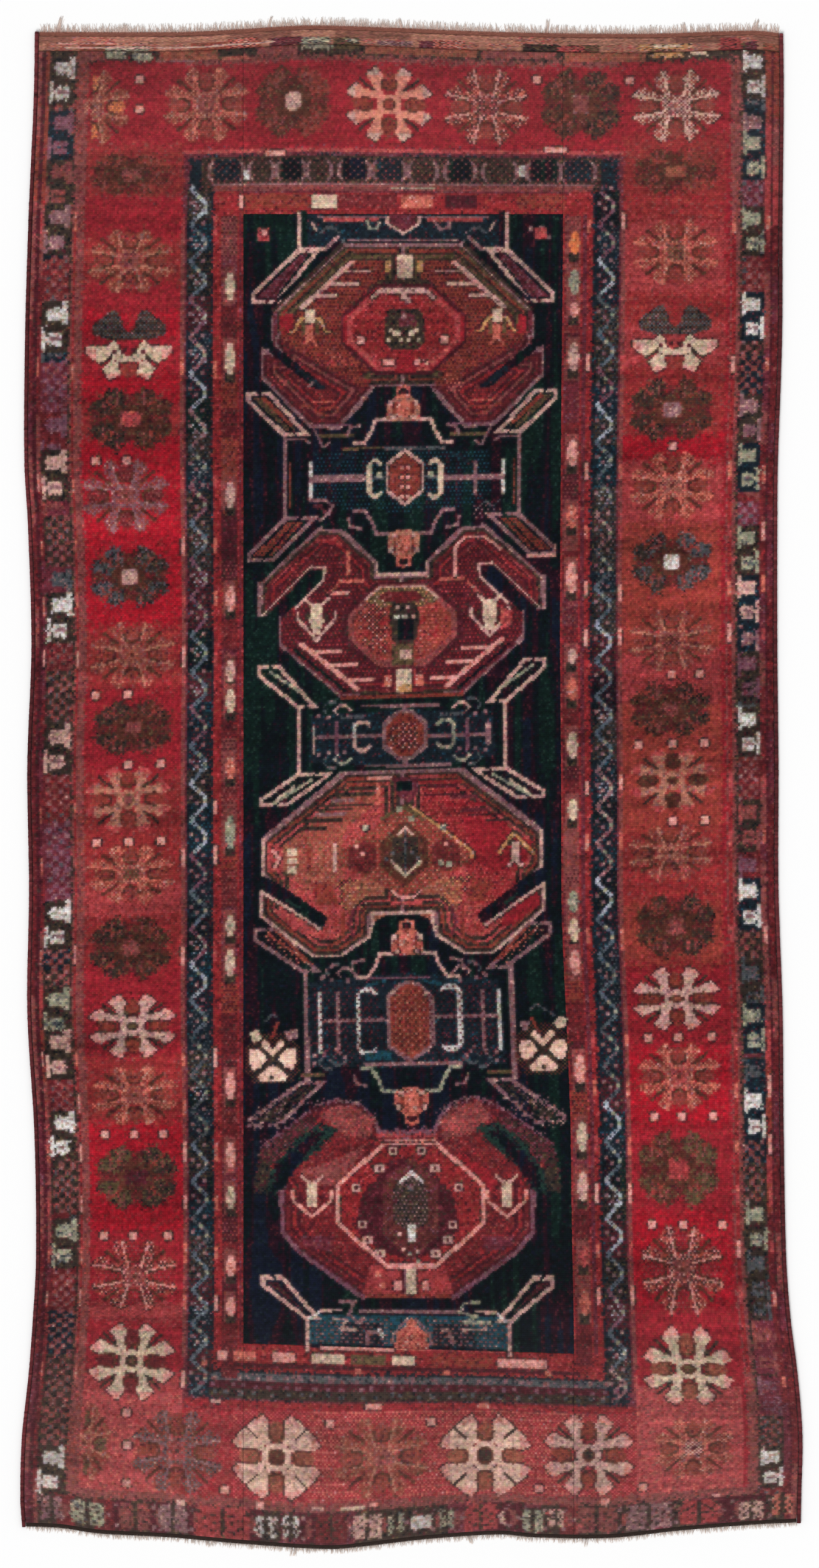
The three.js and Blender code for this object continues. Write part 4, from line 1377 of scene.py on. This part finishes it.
def place_knots(column, row):
    """Where corners of the knot grid lie on the rug, in mm. Each round brings x and y closer to agreement."""
    field_last = LEFT + FIELD_COLUMNS
    x = (column - LEFT - FIELD_COLUMNS / 2) * KNOT_ACROSS
    y = FIELD_HEAD - (row - HEAD) * KNOT_ALONG
    for _ in range(3):
        west, east = left_side(y) + SIDE_INSET, right_side(y) - SIDE_INSET
        field_right = curve(FIELD_RIGHT, 1, y)
        x = np.where(column < LEFT, between(west, FIELD_LEFT, column / LEFT),
                     np.where(column < field_last,
                              between(FIELD_LEFT, field_right, (column - LEFT) / FIELD_COLUMNS),
                              between(field_right, east, (column - field_last) / RIGHT)))
        climb = (x - WEFT_MIDDLE) / (FIELD_COLUMNS * KNOT_ACROSS)
        field_foot = FIELD_FOOT + climb * curve(WEFT_CLIMB, 1, np.array(float(FIELD_ROWS)))
        y = np.where(row < HEAD, between(head(x) - HEAD_INSET, FIELD_HEAD, row / HEAD),
                     np.where(row < HEAD + FIELD_ROWS,
                              between(FIELD_HEAD, FIELD_FOOT, (row - HEAD) / FIELD_ROWS)
                              + climb * curve(WEFT_CLIMB, 1, row - HEAD),
                              between(field_foot, foot(x) + FOOT_INSET, (row - HEAD - FIELD_ROWS) / FOOT)))
    return x, y


def worn_height(x, y):
    """The pile's top, with the same slow waves as the solid and a soft fall at the rim."""
    waves = 0.5 * np.sin(x / 170 + 1) * np.sin(y / 230) + 0.3 * np.sin(x / 61 + y / 97)
    inset = np.minimum(np.minimum(x - left_side(y), right_side(y) - x) - SIDE_INSET,
                       np.minimum(y - foot(x) - FOOT_INSET, head(x) - HEAD_INSET - y))
    share = np.clip(inset / RIM_DEPTH, 0, 1)
    return between(RIM_HEIGHT, PILE_HEIGHT + waves, np.sin(share * np.pi / 2))


def to_linear(colour):
    """Screen colour, 0 to 1, as the light that it stands for."""
    return np.where(colour <= 0.04045, colour / 12.92, ((colour + 0.055) / 1.055) ** 2.4)


# How far the dye strays from a wool's tone, as a share of it: by lots of rows, streaks along the wefts,
# larger patches and single knots, and for each knot by its red, green and blue.
LOT_SPREAD, STREAK_SPREAD, PATCH_SPREAD, KNOT_SPREAD, HUE_SPREAD = 0.10, 0.10, 0.08, 0.13, 0.035
# The colour of the dust that dulls the worn rows, 0 to 255, and how far its share strays.
DUST_TONE = (158.1, 132.6, 122.4)
DUST_SPREAD = 0.02


def dye(knots, random):
    """The colour of every knot: its wool, the dye lots by row, fading, and each knot's own tone."""
    tones = np.array(list(WOOLS.values()), float)[knots] / 255
    shape = knots.shape
    lots_of_rows = smooth_noise(random, shape, (9, 400))[..., None] * LOT_SPREAD
    streaks = smooth_noise(random, shape, (2, 26))[..., None] * STREAK_SPREAD
    patches = smooth_noise(random, shape, (40, 34))[..., None] * PATCH_SPREAD
    single = random.normal(0, KNOT_SPREAD, shape)[..., None]
    hue = random.normal(0, HUE_SPREAD, (*shape, 3))
    tones = tones * (1 + lots_of_rows + streaks + patches + single + hue)
    worn = curve(FADING, 1, np.arange(shape[0]))[:, None]
    dust = np.clip(worn + DUST_SPREAD * smooth_noise(random, shape, (60, 50)), 0, 1)[..., None]
    return np.clip(between(tones, np.array(DUST_TONE) / 255, dust), 0, 1)


# How far a knot stands above the even pile, in mm: one of dark wool, any other, and their spread.
DARK_RISE, OTHER_RISE, RISE_SPREAD = -0.45, 0.1, 0.22


def wear_down(knots, random):
    """How far each knot stands above or below the even pile, in mm: dark brown wool rots first."""
    low = is_any(knots, ("night", "umber", "ink"))
    return np.where(low, DARK_RISE, OTHER_RISE) + random.normal(0, RISE_SPREAD, knots.shape)


# Painted shade: how much darker a sheet's walls and base are painted than its top. And how dark the rug's
# back is beside its pile.
WALL_PAINTED_SHADE = 0.8
BASE_PAINTED_SHADE = 0.6
BACK_SHADE = 0.82


def at_corners(values):
    """Means of the four knots that meet at each corner of the grid."""
    padded = np.pad(values, [(1, 1), (1, 1)] + [(0, 0)] * (values.ndim - 2), mode="edge")
    return (padded[:-1, :-1] + padded[1:, :-1] + padded[:-1, 1:] + padded[1:, 1:]) / 4


def grid_faces(rows, columns):
    """Quads of a grid of points, row by row from the head, with their faces up."""
    i, j = np.meshgrid(np.arange(rows - 1), np.arange(columns - 1), indexing="ij")
    corner = (i * columns + j).ravel()
    return np.stack([corner + columns, corner + columns + 1, corner + 1, corner], axis=1)


def rim_of(rows, columns):
    """Numbers of a grid's outer points, once round it, counter-clockwise from above."""
    head_row = np.arange(columns)[::-1]
    left = np.arange(1, rows - 1) * columns
    foot_row = (rows - 1) * columns + np.arange(columns)
    right = (np.arange(1, rows - 1) * columns + columns - 1)[::-1]
    return np.concatenate([head_row, left, foot_row, right])


def close_below(upper, shape, low):
    """Closes a grid of points with walls down to a flat base: all the points, the walls and the base."""
    rim = rim_of(*shape)
    lower = np.column_stack([upper[rim, :2], np.full(len(rim), low)])
    ring = np.arange(len(rim))
    after = np.roll(ring, -1)
    walls = np.stack([rim[after], rim[ring], len(upper) + ring, len(upper) + after], axis=1)
    return np.concatenate([upper, lower]), walls, len(upper) + ring[::-1]


def new_piece(name, points, faces, material):
    """A smooth piece that rides with the rug. Its points are in mm."""
    mesh = bpy.data.meshes.new(name)
    mesh.from_pydata((points * MM).tolist(), [], faces)
    mesh.polygons.foreach_set("use_smooth", np.ones(len(faces), bool))
    mesh.materials.append(material)
    piece = bpy.data.objects.new(name, mesh)
    bpy.context.scene.collection.objects.link(piece)
    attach(piece, "root")
    return piece


def paint(piece, tones, domain):
    """Sets the wool's colour at every point, or at every corner of the faces."""
    colours = np.column_stack([to_linear(tones), np.ones(len(tones))])
    wool = piece.data.color_attributes.new("wool", "FLOAT_COLOR", domain)
    wool.data.foreach_set("color", colours.ravel().astype(np.float32))


def closed_sheet(name, x, y, top, low, tones, material):
    """A closed slab: a grid of points with its own heights on top, and a flat face below.

    tones holds a colour for each top face. The colour fades a little into the next knot's at every corner,
    and the walls and base get a darker copy of it as painted shade.
    """
    upper = np.stack([x, y, top], axis=-1).reshape(-1, 3)
    points, walls, base = close_below(upper, x.shape, low)
    faces = grid_faces(*x.shape)
    piece = new_piece(name, points, faces.tolist() + walls.tolist() + [base.tolist()], material)
    shared = at_corners(tones).reshape(-1, 3)
    own = np.repeat(tones.reshape(-1, 3), 4, axis=0)
    top_tones = between(own, shared[faces.ravel()], COLOUR_BLEND)
    # Painted shade: the walls and base are the top's colours darkened.
    wall_tones = shared[walls[:, (0, 1, 1, 0)].ravel()] * WALL_PAINTED_SHADE
    base_tones = shared[rim_of(*x.shape)[::-1]] * BASE_PAINTED_SHADE
    paint(piece, np.concatenate([top_tones, wall_tones, base_tones]), "CORNER")
    return piece


def number_knots(piece, rows, columns, first_row, first_column, step=1):
    """Gives each point its place on the knot grid, for the bump of single knots."""
    row, column = np.meshgrid(first_row + step * np.arange(rows), first_column + step * np.arange(columns),
                              indexing="ij")
    places = np.stack([column, row, np.zeros_like(row)], axis=-1).reshape(-1, 3)
    places = np.concatenate([places, places[rim_of(rows, columns)]])
    spots = piece.data.attributes.new("knot", "FLOAT_VECTOR", "POINT")
    spots.data.foreach_set("vector", places.ravel().astype(np.float32))


# Materials

ROUGHNESS = 0.9
SPECULAR = 0.05
SHEEN_ROUGHNESS = 0.5
FIBRE_CONTRAST = 0.28


def node(tree, kind, **values):
    """A new node. Each value is one of the node's settings, an input's number, or an output to link to it."""
    made = tree.nodes.new("ShaderNode" + kind)
    for name, value in values.items():
        socket = made.inputs.get(name.replace("_", " "))
        if hasattr(made, name):
            setattr(made, name, value)
        elif isinstance(value, bpy.types.NodeSocket):
            tree.links.new(value, socket)
        else:
            socket.default_value = value
    return made


def new_material(name, sheen):
    material = bpy.data.materials.new(name)
    material.use_nodes = True
    shader = material.node_tree.nodes["Principled BSDF"]
    shader.inputs["Roughness"].default_value = ROUGHNESS
    shader.inputs["Specular IOR Level"].default_value = SPECULAR
    shader.inputs["Sheen Weight"].default_value = sheen
    shader.inputs["Sheen Roughness"].default_value = SHEEN_ROUGHNESS
    return material, material.node_tree, shader


def wool_material(name, sheen, fibre_scale):
    """Wool whose colour is on the mesh, darkened and lightened by fine fibres."""
    material, tree, shader = new_material(name, sheen)
    colour = node(tree, "Attribute", attribute_name="wool")
    place = node(tree, "TexCoord")
    fibres = node(tree, "TexNoise", Vector=place.outputs["Object"], Scale=fibre_scale, Detail=4.0,
                  Roughness=0.65)
    spread = node(tree, "MapRange", Value=fibres.outputs["Fac"], To_Min=1 - FIBRE_CONTRAST,
                  To_Max=1 + FIBRE_CONTRAST)
    tinted = node(tree, "VectorMath", operation="SCALE", Vector=colour.outputs["Color"],
                  Scale=spread.outputs["Result"])
    tree.links.new(tinted.outputs["Vector"], shader.inputs["Base Color"])
    return material, tree, shader, fibres.outputs["Fac"]


def add_bump(tree, shader, height, distance):
    bump = node(tree, "Bump", Height=height, Strength=1.0, Distance=distance)
    tree.links.new(bump.outputs["Normal"], shader.inputs["Normal"])


def maths(tree, operation, first, second):
    made = node(tree, "Math", operation=operation)
    for socket, value in zip(made.inputs, (first, second)):
        if isinstance(value, bpy.types.NodeSocket):
            tree.links.new(value, socket)
        else:
            socket.default_value = value
    return made.outputs["Value"]


def knotted_wool(name, pillow, fibre):
    """Dyed knots, with a pillow for every knot and fine broken fibres, both in mm."""
    material, tree, shader, fibres = wool_material(name, 0.03, 900.0)
    knot = node(tree, "Attribute", attribute_name="knot")
    parts = node(tree, "SeparateXYZ", Vector=knot.outputs["Vector"])
    waves = []
    for axis in ("X", "Y"):
        turned = maths(tree, "MULTIPLY", parts.outputs[axis], np.pi)
        waves.append(maths(tree, "ABSOLUTE", maths(tree, "SINE", turned, 0.0), 0.0))
    height = maths(tree, "MULTIPLY", maths(tree, "POWER", maths(tree, "MULTIPLY", *waves), 0.5), pillow)
    height = maths(tree, "ADD", height, maths(tree, "MULTIPLY", fibres, fibre))
    add_bump(tree, shader, height, MM)
    return material


def yarn_wool(name, fibre_scale, depth):
    material, tree, shader, fibres = wool_material(name, 0.04, fibre_scale)
    add_bump(tree, shader, fibres, depth)
    return material


# Pieces, in mm

# How far the knots stray sideways, and the ridges of their backs under the foundation.
KNOT_SHIFT = 0.28
RIDGE_LOW, RIDGE_RISE = 0.12, 0.1
# How far the flat-woven band reaches under the pile's edge, and how far a weft and a warp rise in it.
BAND_TUCK = 0.6
RIB_RISE, WARP_RISE = 0.35, 0.1
# A warp end's height and radius at its root and at its tip, and half a tuft's width.
ROOT_HEIGHT, TIP_HEIGHT = 1.3, 0.55
ROOT_RADIUS, TIP_RADIUS = 0.66, 0.22
TUFT_HALF = 3.5
# How far the ends' corners lie from the rug's middle, along.
END_ALONG = 1280.0


def pile_panels(knots, material):
    """The pile in five panels: the field, and the border on its four sides."""
    random = np.random.default_rng(11)
    tones = dye(knots, random)
    row, column = np.meshgrid(np.arange(ROWS + 1.0), np.arange(COLUMNS + 1.0), indexing="ij")
    x, y = place_knots(column, row)
    inner = (slice(1, -1), slice(1, -1))
    top = worn_height(x, y)
    top[inner] += at_corners(wear_down(knots, random))[inner]
    shift = random.normal(0, KNOT_SHIFT, (2, *x.shape))
    x[inner] += shift[0][inner]
    y[inner] += shift[1][inner]
    field_last, foot_first = LEFT + FIELD_COLUMNS, HEAD + FIELD_ROWS
    panels = (
        # name, first and last row, first and last column
        ("pile_field", HEAD, foot_first, LEFT, field_last),
        ("pile_left", 0, ROWS, 0, LEFT),
        ("pile_right", 0, ROWS, field_last, COLUMNS),
        ("pile_head", 0, HEAD, LEFT, field_last),
        ("pile_foot", foot_first, ROWS, LEFT, field_last),
    )
    pieces = []
    for name, r0, r1, c0, c1 in panels:
        part = (slice(r0, r1 + 1), slice(c0, c1 + 1))
        piece = closed_sheet(name, x[part], y[part], top[part], PILE_FOOT, tones[r0:r1, c0:c1], material)
        number_knots(piece, r1 - r0 + 1, c1 - c0 + 1, r0, c0)
        pieces.append(piece)
    return pieces, tones


def back_of(tones, material):
    """The foundation with the knots' backs on its underside, at a third of the pile's fineness."""
    step = 3
    row, column = np.meshgrid(np.append(np.arange(0.0, ROWS, step), ROWS),
                              np.append(np.arange(0.0, COLUMNS, step), COLUMNS), indexing="ij")
    x, y = place_knots(column, row)
    rows, columns = x.shape
    coarse = tones[1::step, 1::step][:rows - 1, :columns - 1] * BACK_SHADE
    coarse = np.pad(coarse, [(0, rows - 1 - coarse.shape[0]), (0, columns - 1 - coarse.shape[1]), (0, 0)],
                    mode="edge")
    ridges = RIDGE_LOW + RIDGE_RISE * np.random.default_rng(5).uniform(0, 1, x.shape)
    piece = closed_sheet("foundation", x[:, ::-1], y[:, ::-1], ridges, BACK_HEIGHT, coarse[:, ::-1], material)
    number_knots(piece, rows, columns, 0, 0, step)
    return piece


def end_band(material):
    """The flat-woven band at the head: rows of thick weft over and under the warps."""
    threads = 3
    share = np.linspace(0, 1, BAND_WEFTS * threads + 1)
    x, edge = place_knots(*np.meshgrid(np.arange(COLUMNS + 1.0), [0.0]))
    x = np.repeat(x, len(share), axis=0)
    y = edge + between(BAND_DEPTH, -BAND_TUCK, share)[:, None]
    rib = np.abs(np.sin(share * BAND_WEFTS * np.pi))[:, None]
    warp = np.sin(np.arange(COLUMNS + 1) * np.pi / 2)[None, :]
    top = BAND_HEIGHT + RIB_RISE * (rib - 0.5) + WARP_RISE * warp * rib
    tones = dye(chart_band(), np.random.default_rng(17))
    return closed_sheet("end_band", x, y, top, FLOOR_GAP, np.repeat(tones, threads, axis=0), material)


def tube_faces(count, steps, sides):
    """Faces of tubes with one ring of points at each step, closed at both ends."""
    n, i, k = np.meshgrid(np.arange(count), np.arange(steps - 1), np.arange(sides), indexing="ij")
    ring = (n * steps + i) * sides
    after = (k + 1) % sides
    faces = np.stack([ring + k, ring + sides + k, ring + sides + after, ring + after], axis=-1)
    faces = faces.reshape(-1, 4).tolist()
    for tube in range(count):
        first, last = tube * steps * sides, ((tube + 1) * steps - 1) * sides
        faces.append([first + k for k in range(sides)])
        faces.append([last + k for k in range(sides)][::-1])
    return faces


def selvedge(side, material):
    """Wool wrapped round the outermost warps: a cord of slanting turns with a flat foot."""
    name = "overcasting_left" if side < 0 else "overcasting_right"
    sides, per_turn, slant = 10, 3, 0.35
    low, high = float(foot(side * 640.0)), float(head(side * 636.0))
    turns = int((high - low) / WRAP_PITCH)
    steps = turns * per_turn + 1
    y = np.linspace(low, high, steps)
    edge = left_side(y) if side < 0 else right_side(y)
    centre = edge - side * SELVEDGE_WIDTH / 2
    angle = (np.arange(sides) + 0.5) * 2 * np.pi / sides
    random = np.random.default_rng(23 + side)
    uneven = random.normal(0, 0.035, turns + 2)
    turn = np.arange(steps)[:, None] / per_turn + slant * angle[None, :] / np.pi
    whole = np.clip(turn.astype(int), 0, turns + 1)
    ridge = 0.90 + 0.12 * np.abs(np.sin(turn * np.pi)) + uneven[whole]
    x = centre[:, None] + SELVEDGE_WIDTH / 2 * ridge * np.cos(angle)
    z = np.maximum(SELVEDGE_HEIGHT / 2 * (1 + ridge * 1.04 * np.sin(angle)), 0.05)
    points = np.stack([x, np.broadcast_to(y[:, None], x.shape), z], axis=-1).reshape(-1, 3)
    piece = new_piece(name, points, tube_faces(1, steps, sides), material)
    tone = np.array(SELVEDGE_TONE) / 255 * (1 + random.normal(0, 0.12, turns + 2))[:, None]
    tone *= (1 + 0.12 * np.sin(np.arange(turns + 2) / 37))[:, None]
    paint(piece, np.clip(tone[whole].reshape(-1, 3), 0, 1), "POINT")
    return piece


def yarn_points(paths, radii, sides):
    """Rings of points round each path, in rows across and along it."""
    angle = np.arange(sides) * 2 * np.pi / sides
    along = np.gradient(paths, axis=1)
    along /= np.maximum(np.linalg.norm(along, axis=2, keepdims=True), 1e-9)
    flat = np.cross(along, (0, 0, 1))
    flat /= np.maximum(np.linalg.norm(flat, axis=2, keepdims=True), 1e-9)
    upright = np.cross(flat, along)
    ring = (flat[:, :, None] * np.cos(angle)[:, None] + upright[:, :, None] * np.sin(angle)[:, None])
    points = paths[:, :, None] + ring * radii[:, :, None, None]
    return points.reshape(-1, 3)


# Tufts of warp that reach further out than the rest.
HEAD_TUFTS = (
    # across, reach, lean
    (-604, 1318, 5), (-490, 1306, 1), (-245, 1318, 4), (-17, 1315, -3), (233, 1313, 2), (467, 1307, -2),
    (585, 1313, 6),
)
FOOT_TUFTS = (
    # across, reach, lean
    (-349, 1302, 2), (-200, 1318, -3), (99, 1296, 3), (300, 1301, -2),
)


# Places along a strand, from root to tip, and the sides of its section.
STRAND_STEPS = np.linspace(0, 1, 5)
STRAND_SIDES = 4


def warp_strands(outwards, random, count, shortest, longest, tufts):
    """Frayed warp ends that lean and curl a little, most of them short, and some in longer tufts."""
    reach = head if outwards > 0 else foot
    across = np.sort(random.uniform(*end_corners(outwards), count))
    length = between(shortest, longest, random.uniform(0, 1, count) ** 1.5)
    lean = random.normal(0, 2.2, count)
    for place, far, tuft_lean in tufts:
        close = np.abs(across - place) < TUFT_HALF
        length[close] = (far - abs(float(reach(place)))) * random.uniform(0.72, 1.0, close.sum())
        lean[close] = tuft_lean + random.normal(0, 1.2, close.sum())
    share = STRAND_STEPS
    bend = random.normal(0, 0.6, (count, 1))
    x = across[:, None] + lean[:, None] * share ** 1.5 + bend * np.sin(share * np.pi)
    y = reach(across)[:, None] + outwards * (length[:, None] * share - 2.0 * (1 - share))
    z = between(ROOT_HEIGHT, TIP_HEIGHT, share)[None, :]
    z = z + random.uniform(0, 0.5, (count, 1)) * np.sin(share * np.pi)
    radii = between(ROOT_RADIUS, TIP_RADIUS, share)[None, :] * random.uniform(0.7, 1.1, (count, 1))
    return yarn_points(np.stack([x, y, z], axis=-1), radii, STRAND_SIDES)


def end_corners(outwards):
    """Where the cloth's end begins and ends, across."""
    along = outwards * END_ALONG
    return float(left_side(along)) + SIDE_INSET, float(right_side(along)) - SIDE_INSET


def last_wefts(outwards):
    """The strip of wefts that holds the warp ends: points and faces, which are turned over at the foot."""
    wefts, threads, columns = 5, 3, 360
    reach = head if outwards > 0 else foot
    line = np.linspace(*end_corners(outwards), columns + 1)
    depth = np.linspace(0, 1, wefts * threads + 1)[:, None]
    x = np.repeat(line[None, :], len(depth), axis=0)
    y = reach(line)[None, :] - outwards * depth * STRIP_DEPTH
    rib = np.abs(np.sin(depth * wefts * np.pi))
    z = STRIP_HEIGHT - RIB_RISE + RIB_RISE * rib * (1 + 0.3 * np.sin(np.arange(columns + 1) * np.pi / 2))
    points, walls, base = close_below(np.stack([x, y, z], axis=-1).reshape(-1, 3), x.shape, FLOOR_GAP)
    faces = np.concatenate([grid_faces(*x.shape), walls])[:, ::outwards].tolist()
    return points, faces + [base[::outwards].tolist()]


def fringe(end, count, shortest, longest, tufts, weft_wool, material):
    """One end's last wefts and frayed warp ends, which keep some of the wefts' colour at their roots."""
    outwards = 1 if end == "head" else -1
    random = np.random.default_rng(31 + outwards)
    strands = warp_strands(outwards, random, count, shortest, longest, tufts)
    strip, strip_faces = last_wefts(outwards)
    points = np.concatenate([strands, strip])
    faces = tube_faces(count, len(STRAND_STEPS), STRAND_SIDES)
    faces += [[len(strands) + number for number in face] for face in strip_faces]
    piece = new_piece("warp_ends_" + end, points, faces, material)
    weft = np.array(WOOLS[weft_wool])
    share = np.tile(np.repeat(STRAND_STEPS, STRAND_SIDES), count)[:, None]
    tones = [between(weft, np.array(WARP_TONE), share ** 0.3), np.tile(weft, (len(strip), 1))]
    tones = np.concatenate(tones) / 255 * random.normal(1, 0.09, (len(points), 1))
    paint(piece, np.clip(tones, 0, 1), "POINT")
    return piece


# Floor, light and camera

PHOTO_WIDTH, PHOTO_HEIGHT = 1346, 2576
MM_PER_PIXEL = 1.04
RUG_MIDDLE_PIXEL = (676, 1292)
CAMERA_HEIGHT = 8.0
FLOOR_COLOUR = (0.965, 0.965, 0.965, 1)
SKY_STRENGTH = 0.62
SUN_STRENGTH = 1.75
SUN_SPREAD = 0.6


def studio():
    """A pale floor just below the rug, even light from all round, a soft sun, and the camera above."""
    bpy.ops.mesh.primitive_plane_add(size=40, location=(0, 0, -0.0005))
    floor = bpy.context.object
    floor.name = "floor"
    material, _, shader = new_material("pale_floor", 0.0)
    shader.inputs["Base Color"].default_value = FLOOR_COLOUR
    floor.data.materials.append(material)

    world = bpy.data.worlds.new("studio")
    bpy.context.scene.world = world
    world.use_nodes = True
    sky = world.node_tree.nodes["Background"].inputs
    sky["Color"].default_value = (1, 1, 1, 1)
    sky["Strength"].default_value = SKY_STRENGTH

    lamp = bpy.data.lights.new("soft_key", "SUN")
    lamp.energy = SUN_STRENGTH
    lamp.angle = SUN_SPREAD
    key = bpy.data.objects.new("soft_key", lamp)
    key.rotation_euler = (np.radians(38), np.radians(-22), 0)
    bpy.context.scene.collection.objects.link(key)

    view = bpy.data.cameras.new("camera")
    view.sensor_fit = "VERTICAL"
    view.sensor_height = 36
    view.lens = view.sensor_height * (CAMERA_HEIGHT - PILE_HEIGHT * MM) / (PHOTO_HEIGHT * MM_PER_PIXEL * MM)
    view.clip_end = 100
    camera = bpy.data.objects.new("camera", view)
    middle_x, middle_y = RUG_MIDDLE_PIXEL
    camera.location = ((PHOTO_WIDTH / 2 - middle_x) * MM_PER_PIXEL * MM,
                       (middle_y - PHOTO_HEIGHT / 2) * MM_PER_PIXEL * MM, CAMERA_HEIGHT)
    bpy.context.scene.collection.objects.link(camera)
    bpy.context.scene.camera = camera
    bpy.context.scene.view_settings.view_transform = "Standard"


def build():
    """All the pieces, with the parts of the model that they stand for hidden."""
    studio()
    knots = draw_chart()
    pile, tones = pile_panels(knots, knotted_wool("pile_wool", 0.6, 0.5))
    back = back_of(tones, knotted_wool("knot_backs", 0.5, 0.3))
    band = end_band(yarn_wool("band_wool", 1400.0, 0.4 * MM))
    edge_wool = yarn_wool("edge_wool", 1600.0, 0.4 * MM)
    cords = [selvedge(side, edge_wool) for side in (-1, 1)]
    warp = yarn_wool("warp_yarn", 1800.0, 0.3 * MM)
    ends = [fringe("head", 2500, 2, 16, HEAD_TUFTS, "dun", warp),
            fringe("foot", 1900, 2.5, 10, FOOT_TUFTS, "umber", warp)]
    for piece in pile + [back, band]:
        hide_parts("rug_cloth")
    for piece, name in zip(cords, ("selvedge_left", "selvedge_right")):
        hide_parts(name)
    for piece, name in zip(ends, ("fringe_head", "fringe_foot")):
        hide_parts(name)


build()
